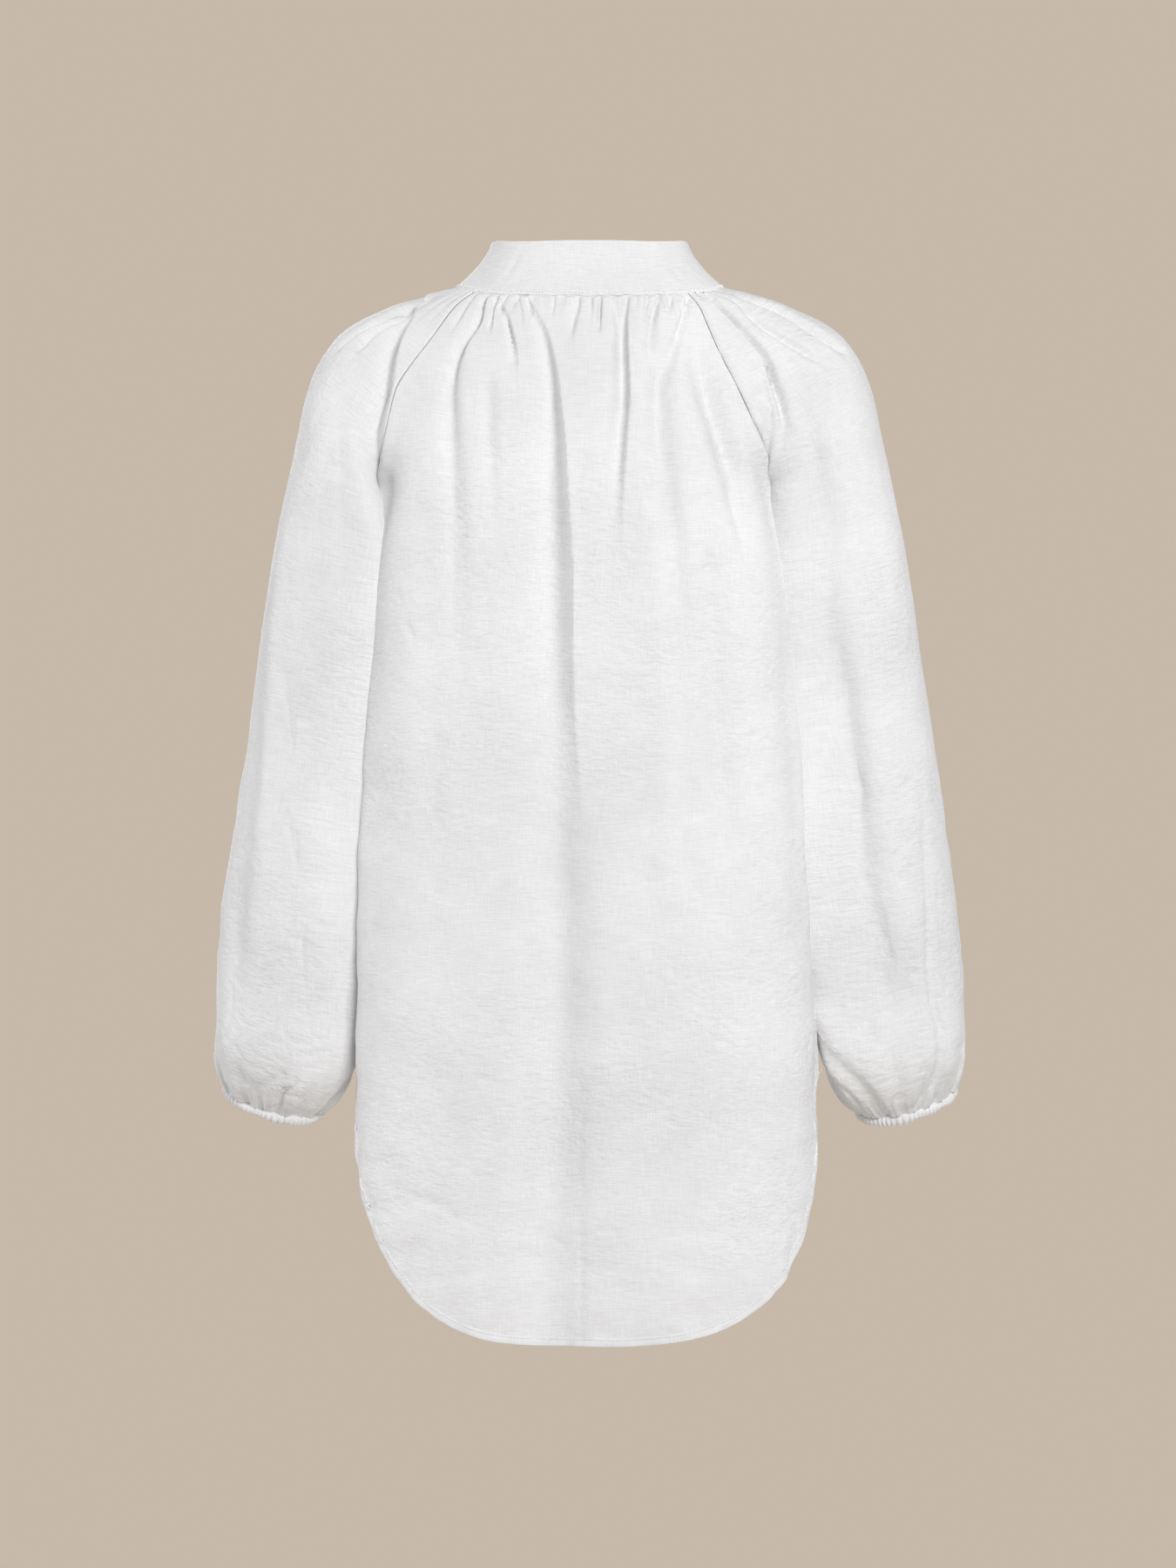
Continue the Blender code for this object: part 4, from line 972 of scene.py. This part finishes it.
def hem_band(name, back, u):
    """The turned hem of a panel: a flat band of three layers folded round its lower edge, and its line of
    stitches. The band's profile is carried along the edge, and thins out where it meets the side seams."""
    edge = dress_panel(u, np.full_like(u, 2.0), back)
    up = unit(dress_panel(u, np.full_like(u, 1.992), back) - edge)
    along = unit(np.gradient(edge, axis=0))
    out = unit(np.cross(up, along))
    up = unit(up - along * (up * along).sum(axis=1, keepdims=True))
    thin = 0.25 + 0.75 * ease(1 - np.abs(u), 0.0, 0.07)
    profile = np.array(HEM_PROFILE) * thin[:, None, None] - np.array([HEM_SUNK, 0.0])
    rings = edge[:, None] + out[:, None] * profile[..., :1] + up[:, None] * profile[..., 1:]
    girth = np.linalg.norm(np.diff(profile[0], axis=0, append=profile[0, :1]), axis=1).cumsum()
    band = tube(name, rings, arc(edge), girth, panel_linen, -1)
    line = edge + up * HEM_STITCH + out * HEM_STITCH_OUT
    return band, stitch_row(name + "_stitches", line, out, panel_linen, *HEM_SEWING)


def linked(tree, kind, **sockets):
    """A node with its sockets set: a value is set on the socket and another node's output is linked to it."""
    node = tree.nodes.new(kind)
    for name, value in sockets.items():
        place = int(name[1:]) if name[0] == "i" and name[1:].isdigit() else name.replace("_", " ")
        if isinstance(value, bpy.types.NodeSocket):
            tree.links.new(value, node.inputs[place])
        else:
            node.inputs[place].default_value = value
    return node


def noise(tree, vector, scale, detail=2.0, roughness=0.55):
    """Noise at one scale, or at a scale for each axis, so that its grains are long one way."""
    if isinstance(scale, tuple):
        vector = linked(tree, "ShaderNodeMapping", Vector=vector, Scale=(*scale, 1.0)).outputs["Vector"]
        scale = 1.0
    node = linked(tree, "ShaderNodeTexNoise", Vector=vector, Scale=scale, Detail=detail, Roughness=roughness)
    return node.outputs["Fac"]


def math_node(tree, operation, first, second=0.0):
    """One operation on one or two values."""
    node = linked(tree, "ShaderNodeMath", i0=first, i1=second)
    node.operation = operation
    return node.outputs["Value"]


def weighted(tree, *parts):
    """The sum of some values, each times its weight."""
    terms = [math_node(tree, "MULTIPLY", value, weight) for value, weight in parts]
    total = terms[0]
    for term in terms[1:]:
        total = math_node(tree, "ADD", total, term)
    return total


def ranged(tree, value, low, high):
    """0 at or below low, 1 at or above high, and straight between."""
    return linked(tree, "ShaderNodeMapRange", Value=value, From_Min=low, From_Max=high).outputs["Result"]


def colour_between(tree, factor, first, second):
    """The first colour where the factor is 0, the second where it is 1, and an even mix between."""
    node = linked(tree, "ShaderNodeMix", Factor=factor)
    node.data_type = "RGBA"
    node.inputs["A"].default_value = (*first, 1.0)
    node.inputs["B"].default_value = (*second, 1.0)
    return node.outputs["Result"]


def finish(name, **sockets):
    """A material whose shader has these sockets set, with its node tree and its shader."""
    material = bpy.data.materials.new(name)
    material.use_nodes = True
    shader = material.node_tree.nodes["Principled BSDF"]
    for socket, value in sockets.items():
        shader.inputs[socket.replace("_", " ")].default_value = value
    return material, material.node_tree, shader


def white_linen(name, tint, crumple):
    """White linen on the piece's own cloth coordinates, in metres: slubs run across and down the threads, the
    plain weave is a product of two waves, and the cloth is a little crumpled from wear."""
    material, tree, shader = finish(
        name, Roughness=0.86, IOR=1.4, Specular_IOR_Level=0.3, Sheen_Weight=0.12, Sheen_Roughness=0.5
    )
    cloth = linked(tree, "ShaderNodeUVMap")
    cloth.uv_map = "cloth"
    at = cloth.outputs["UV"]
    place = linked(tree, "ShaderNodeTexCoord").outputs["Object"]

    weft = weighted(tree, *((noise(tree, at, (long, thin)), 0.5) for long, thin in SLUBS))
    warp = weighted(tree, *((noise(tree, at, (thin, long)), 0.5) for long, thin in SLUBS))
    slub = weighted(tree, (weft, 0.6), (warp, 0.4))
    shade = weighted(tree, (slub, 1.0), (noise(tree, place, 9.0, 3.0), 0.35))
    valley = tuple(VALLEY_SHADE * c for c in tint)
    colour = colour_between(tree, ranged(tree, shade, 0.46, 0.82), valley, tint)
    tree.links.new(colour, shader.inputs["Base Color"])

    waves = []
    for direction in "XY":
        wave = linked(tree, "ShaderNodeTexWave", Vector=at, Scale=WEAVE)
        wave.bands_direction = direction
        waves.append(wave.outputs["Fac"])
    threads = math_node(tree, "MULTIPLY", *waves)
    relief = weighted(tree, (threads, 0.35), (slub, 0.9), (noise(tree, at, (420.0, 420.0)), 0.25))
    woven = linked(tree, "ShaderNodeBump", Strength=0.35, Distance=0.00035, Height=relief)
    soft = noise(tree, at, (46.0, 34.0), 3.0, 0.5)
    wide = noise(tree, place, 21.0, 2.0, 0.45)
    # Crinkles: sharp little ridges where a noise passes its middle, in patches
    crinkle = math_node(tree, "SUBTRACT", noise(tree, at, (52.0, 95.0), 3.0, 0.6), 0.5)
    patch = math_node(tree, "ADD", ranged(tree, noise(tree, place, 7.0, 1.0), 0.42, 0.62), 0.35)
    crinkle = math_node(tree, "MULTIPLY", math_node(tree, "ABSOLUTE", crinkle), patch)
    worn = weighted(tree, (soft, 0.45), (wide, 1.0), (crinkle, -2.6))
    bump = linked(
        tree, "ShaderNodeBump", Strength=crumple, Distance=0.004, Height=worn, Normal=woven.outputs["Normal"]
    )
    tree.links.new(bump.outputs["Normal"], shader.inputs["Normal"])
    return material


def white_thread():
    """Matt white cotton thread, a touch brighter than the linen round it, with a fine twist of two whites."""
    material, tree, shader = finish("white_thread", Roughness=0.7)
    twist = noise(tree, linked(tree, "ShaderNodeTexCoord").outputs["Object"], 900.0, 1.0)
    tree.links.new(colour_between(tree, twist, (0.86,) * 3, (0.93,) * 3), shader.inputs["Base Color"])
    return material


def spaced(*parts):
    """Parameter values from (start, end, count) parts laid end to end."""
    values = [np.linspace(low, high, count, endpoint=False) for low, high, count in parts]
    return np.append(np.concatenate(values), parts[-1][1])


def collar_relief(z, angle):
    """How far the collar's outer face stands out at a height: its stitch line is sunk, its middle swells and
    dips softly round the neck, a level crease runs across the back, and dents lean over it. All die out at
    its edges, and its foot ripples over the gathers."""
    stitch = -0.25 * bell(z, 2.0, 0.6)
    belly = 0.5 * bell(z, 20, 14) * np.sin(0.147 * angle + 0.5)
    crease = -0.45 * bell(z, 23.0 + 2 * np.sin(angle * 0.05), 1.6) * ease(-np.abs(angle), -52, -38)
    dents = sum(
        -depth * bell(angle, where + lean * (z - 40), width) * bell(z, height, tall)
        for where, lean, width, depth, height, tall in COLLAR_DENTS
    )
    inside = min(1, z / 3, (COLLAR_HIGH - z) / 3)
    ripple = 0.25 * uneven(angle, *COLLAR_RIPPLE) * math.exp(-z / 4)
    return (stitch + belly + crease + dents) * inside + ripple


def dress_collar():
    """The stand collar: a doubled band whose profile runs up the outer side, over the rounded top edge and
    down the inner side. It reaches a little over the gathers, and its faces dent and ripple softly."""
    u = np.linspace(-1, 1, 501)
    angle = u * COLLAR_END
    reach = 0.3 + 0.3 * np.clip(np.cos(np.radians(angle)), 0, 1) ** 2
    reach = (reach + 0.28 * np.sin(angle * 0.9) + 0.22 * np.sin(angle * 0.53 + 1)) / np.linalg.norm(
        collar_top(angle) - neck_seam(angle), axis=1
    )
    tip = 1 + 0.055 * bell(angle, 0, 50) - 0.10 * bell(np.abs(angle), 92, 16)
    heights = np.concatenate([[0, 0.35, 1.1, 2.2], np.linspace(4, 39, 13), [41.0, 42.1, 42.7]])
    layers = []
    for z, outer in [(z, True) for z in heights] + [(z, False) for z in heights[::-1]]:
        t = -reach + z / COLLAR_HIGH * (tip + reach)
        point = collar_sheet(u, t)
        out = unit(np.cross(collar_upward(u, t), unit(np.gradient(point, axis=0))))
        near = min(z, COLLAR_HIGH - z, COLLAR_ROUND) / COLLAR_ROUND
        half = COLLAR_HALF * (0.3 + 0.7 * math.sqrt(1 - (1 - near) ** 2))
        offset = half + collar_relief(z, angle) if outer else np.full_like(u, -half)
        layers.append(point + out * (COLLAR_OUT + offset)[:, None])
    rings = np.stack(layers, axis=1)
    piece = tube("collar_cloth", rings, arc(rings[:, 8]), arc(rings[250]), stand_linen, 1)
    stitched = rings[3:-3]
    facing = unit(stitched[:, 4] - stitched[:, -5])
    line = stitched[:, 2] * 0.2 + stitched[:, 3] * 0.8 + facing * 0.4
    return piece, stitch_row("collar_stitches", line, facing, thread, *COLLAR_SEWING)


def dress_cuff(name, hand):
    """The elastic casing: a closed band round the wrist with sharp-valleyed puffs of uneven size, pinched in
    at its upper and lower stitch lines, and its lower edge a little frilled."""
    w = np.linspace(-1, 1, 561)[:-1]
    ring = sleeve_sheet(w, np.full_like(w, 2.0), hand)
    from_centre = ring - (ring.max(axis=0) + ring.min(axis=0)) / 2
    axis = cuff_axis(hand)
    radial = unit(from_centre - (from_centre @ axis)[:, None] * axis)
    phase = CUFF_RUFFLES * np.pi * w + 1.1 * np.sin(5 * np.pi * w) + 0.7 * np.sin(9 * np.pi * w + 1)
    puff = np.abs(np.sin(phase)) ** 0.7
    size = 1 + 0.35 * np.sin(4 * np.pi * w + 0.7) + 0.2 * np.sin(13 * np.pi * w)
    layers = []
    for level, out, ruffle in CUFF_PROFILE:
        drift = 0.5 * np.sin(3 * np.pi * w + level) + 0.35 * np.sin(11 * np.pi * w + 2)
        below = level * CUFF_DEEP[hand] + (0.75 * (puff - 0.5) * size + drift) * max(level, 0.15)
        if level < 0:
            below = np.full_like(w, level)
        stands_out = out + ruffle * size * puff * 1.05
        layers.append(ring + axis * (SEAM_GAP + below)[:, None] + radial * stands_out[:, None])
    made = (np.stack(layers, axis=1) + SLEEVE_SHIFT) * np.array([hand, 1, 1])
    if hand < 0:
        made = made[:, ::-1]
    girth = np.arange(len(CUFF_PROFILE)) * 1.6
    return tube(name, made, arc(made[:, 4]), girth, stand_linen, -1, closed=True)


panel_linen = white_linen("panel_linen", (0.900, 0.896, 0.900), 0.30)
sleeve_linen = white_linen("sleeve_linen", (0.898, 0.894, 0.898), 0.30)
stand_linen = white_linen("stand_linen", (0.900, 0.896, 0.900), 0.22)
thread = white_thread()

# Rows and columns of the fine grids; a wall's inner side keeps every third of them
BACK_DOWN = spaced((0, 0.06, 18), (0.06, 0.6, 60), (0.6, 1.9, 126), (1.9, 2.0, 33))
FRONT_DOWN = spaced((0, 0.06, 12), (0.06, SLIT_END, 66), (SLIT_END, 1.9, 93), (1.9, 2.0, 27))
SLEEVE_DOWN = spaced((0, 0.08, 15), (0.08, 1.0, 84), (1.0, 1.8, 66), (1.8, 2.0, 45))
BACK_ACROSS = np.linspace(-1, 1, 337)
FRONT_ACROSS = np.linspace(1, -1, 265)
SLEEVE_ACROSS = np.linspace(0.9993, -0.9993, 247)
HEM_ACROSS = np.linspace(-1, 1, 561)

back_threads = flat_map(grid(whole_panel, BACK_ACROSS, BACK_DOWN, True), True)
back_cloth = cloth_wall(
    "back_cloth", grid(dress_panel, BACK_ACROSS, BACK_DOWN, True), back_threads, panel_linen)
# The slit's second edge is the middle column as the right half has it, just past the middle
slit_rows = FRONT_DOWN[FRONT_DOWN < SLIT_END - 1e-6]
slit_edge = dress_panel(np.full_like(slit_rows, -1e-9), slit_rows, False)
front_threads = flat_map(grid(whole_panel, FRONT_ACROSS, FRONT_DOWN, False), True)
front_points = grid(dress_panel, FRONT_ACROSS, FRONT_DOWN, False)
front_cloth = cloth_wall("front_cloth", front_points, front_threads, panel_linen, slit_edge)
back_hem, back_stitches = hem_band("back_hem", True, HEM_ACROSS)
front_hem, front_stitches = hem_band("front_hem", False, HEM_ACROSS[::-1])
sleeves = {}
for side, hand in (("left", 1), ("right", -1)):
    across = SLEEVE_ACROSS * hand
    sleeve_threads = flat_map(grid(sleeve_sheet, across, SLEEVE_DOWN, hand), False)
    sleeve_points = grid(dress_sleeve, across, SLEEVE_DOWN, hand)
    sleeves[side] = (
        cloth_wall("sleeve_" + side + "_cloth", sleeve_points, sleeve_threads, sleeve_linen),
        dress_cuff("cuff_" + side + "_casing", hand),
    )
collar_cloth, collar_stitches = dress_collar()

panels = ((back_cloth, "back_panel"), (front_cloth, "front_panel"), (collar_cloth, "collar"))
casings = [
    (cloths[i], kind + side)
    for side, cloths in sleeves.items() for i, kind in enumerate(("sleeve_", "cuff_"))
]
for piece, node in [*panels, *casings]:
    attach(piece, "root")
    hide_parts(node)
back_sewing, front_sewing = (back_hem, back_stitches), (front_hem, front_stitches)
for pieces, node in (
        (back_sewing, "back_panel"), (front_sewing, "front_panel"), ((collar_stitches,), "collar")):
    for piece in pieces:
        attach(piece, "root")


def backdrop():
    """A dome of even beige that only the camera sees, so that it tints no cloth, and a pale floor below."""
    bpy.ops.mesh.primitive_uv_sphere_add(segments=48, ring_count=24, radius=9.0)
    dome = bpy.context.object
    dome.name = "backdrop"
    material, tree, shader = finish("studio_wall")
    tree.nodes.remove(shader)
    glow = linked(tree, "ShaderNodeEmission", Color=WALL_COLOUR, Strength=1.0)
    tree.links.new(glow.outputs["Emission"], tree.nodes["Material Output"].inputs["Surface"])
    dome.data.materials.append(material)
    for ray in ("diffuse", "glossy", "transmission", "volume_scatter", "shadow"):
        setattr(dome, "visible_" + ray, False)
    bpy.ops.mesh.primitive_circle_add(vertices=96, radius=1.3, fill_type="NGON", location=(0, 0, -1.6))
    floor = bpy.context.object
    floor.name = "floor"
    floor.data.materials.append(finish("pale_floor", Base_Color=FLOOR_COLOUR, Roughness=0.9)[0])


def soft_light(name, place, aim, size, power):
    """A square area light at a place, turned to face a point."""
    lamp = bpy.data.lights.new(name, "AREA")
    lamp.size = size
    lamp.energy = power
    holder = bpy.data.objects.new(name, lamp)
    bpy.context.scene.collection.objects.link(holder)
    holder.location = place
    ray = holder.location.copy()
    ray.x, ray.y, ray.z = (a - b for a, b in zip(aim, place))
    holder.rotation_euler = ray.to_track_quat("-Z", "Y").to_euler()


def studio():
    """Soft room light, keys before and behind the blouse, a weaker light at either side, and the camera."""
    scene = bpy.context.scene
    scene.view_settings.view_transform = "Standard"
    scene.world = bpy.data.worlds.new("room")
    scene.world.use_nodes = True
    room = scene.world.node_tree.nodes["Background"]
    room.inputs["Color"].default_value = ROOM_COLOUR
    room.inputs["Strength"].default_value = ROOM_LIGHT
    for name, place, size, power in LIGHTS:
        soft_light(name, place, (0.0, 0.0, -0.4), size, power)
    lens = bpy.data.cameras.new("camera")
    lens.sensor_fit = "VERTICAL"
    lens.sensor_height = 36.0
    lens.lens = CAMERA_LENS
    camera = bpy.data.objects.new("camera", lens)
    scene.collection.objects.link(camera)
    camera.location = CAMERA_PLACE
    camera.rotation_euler = (math.pi / 2, 0, math.pi)
    scene.camera = camera


backdrop()
studio()
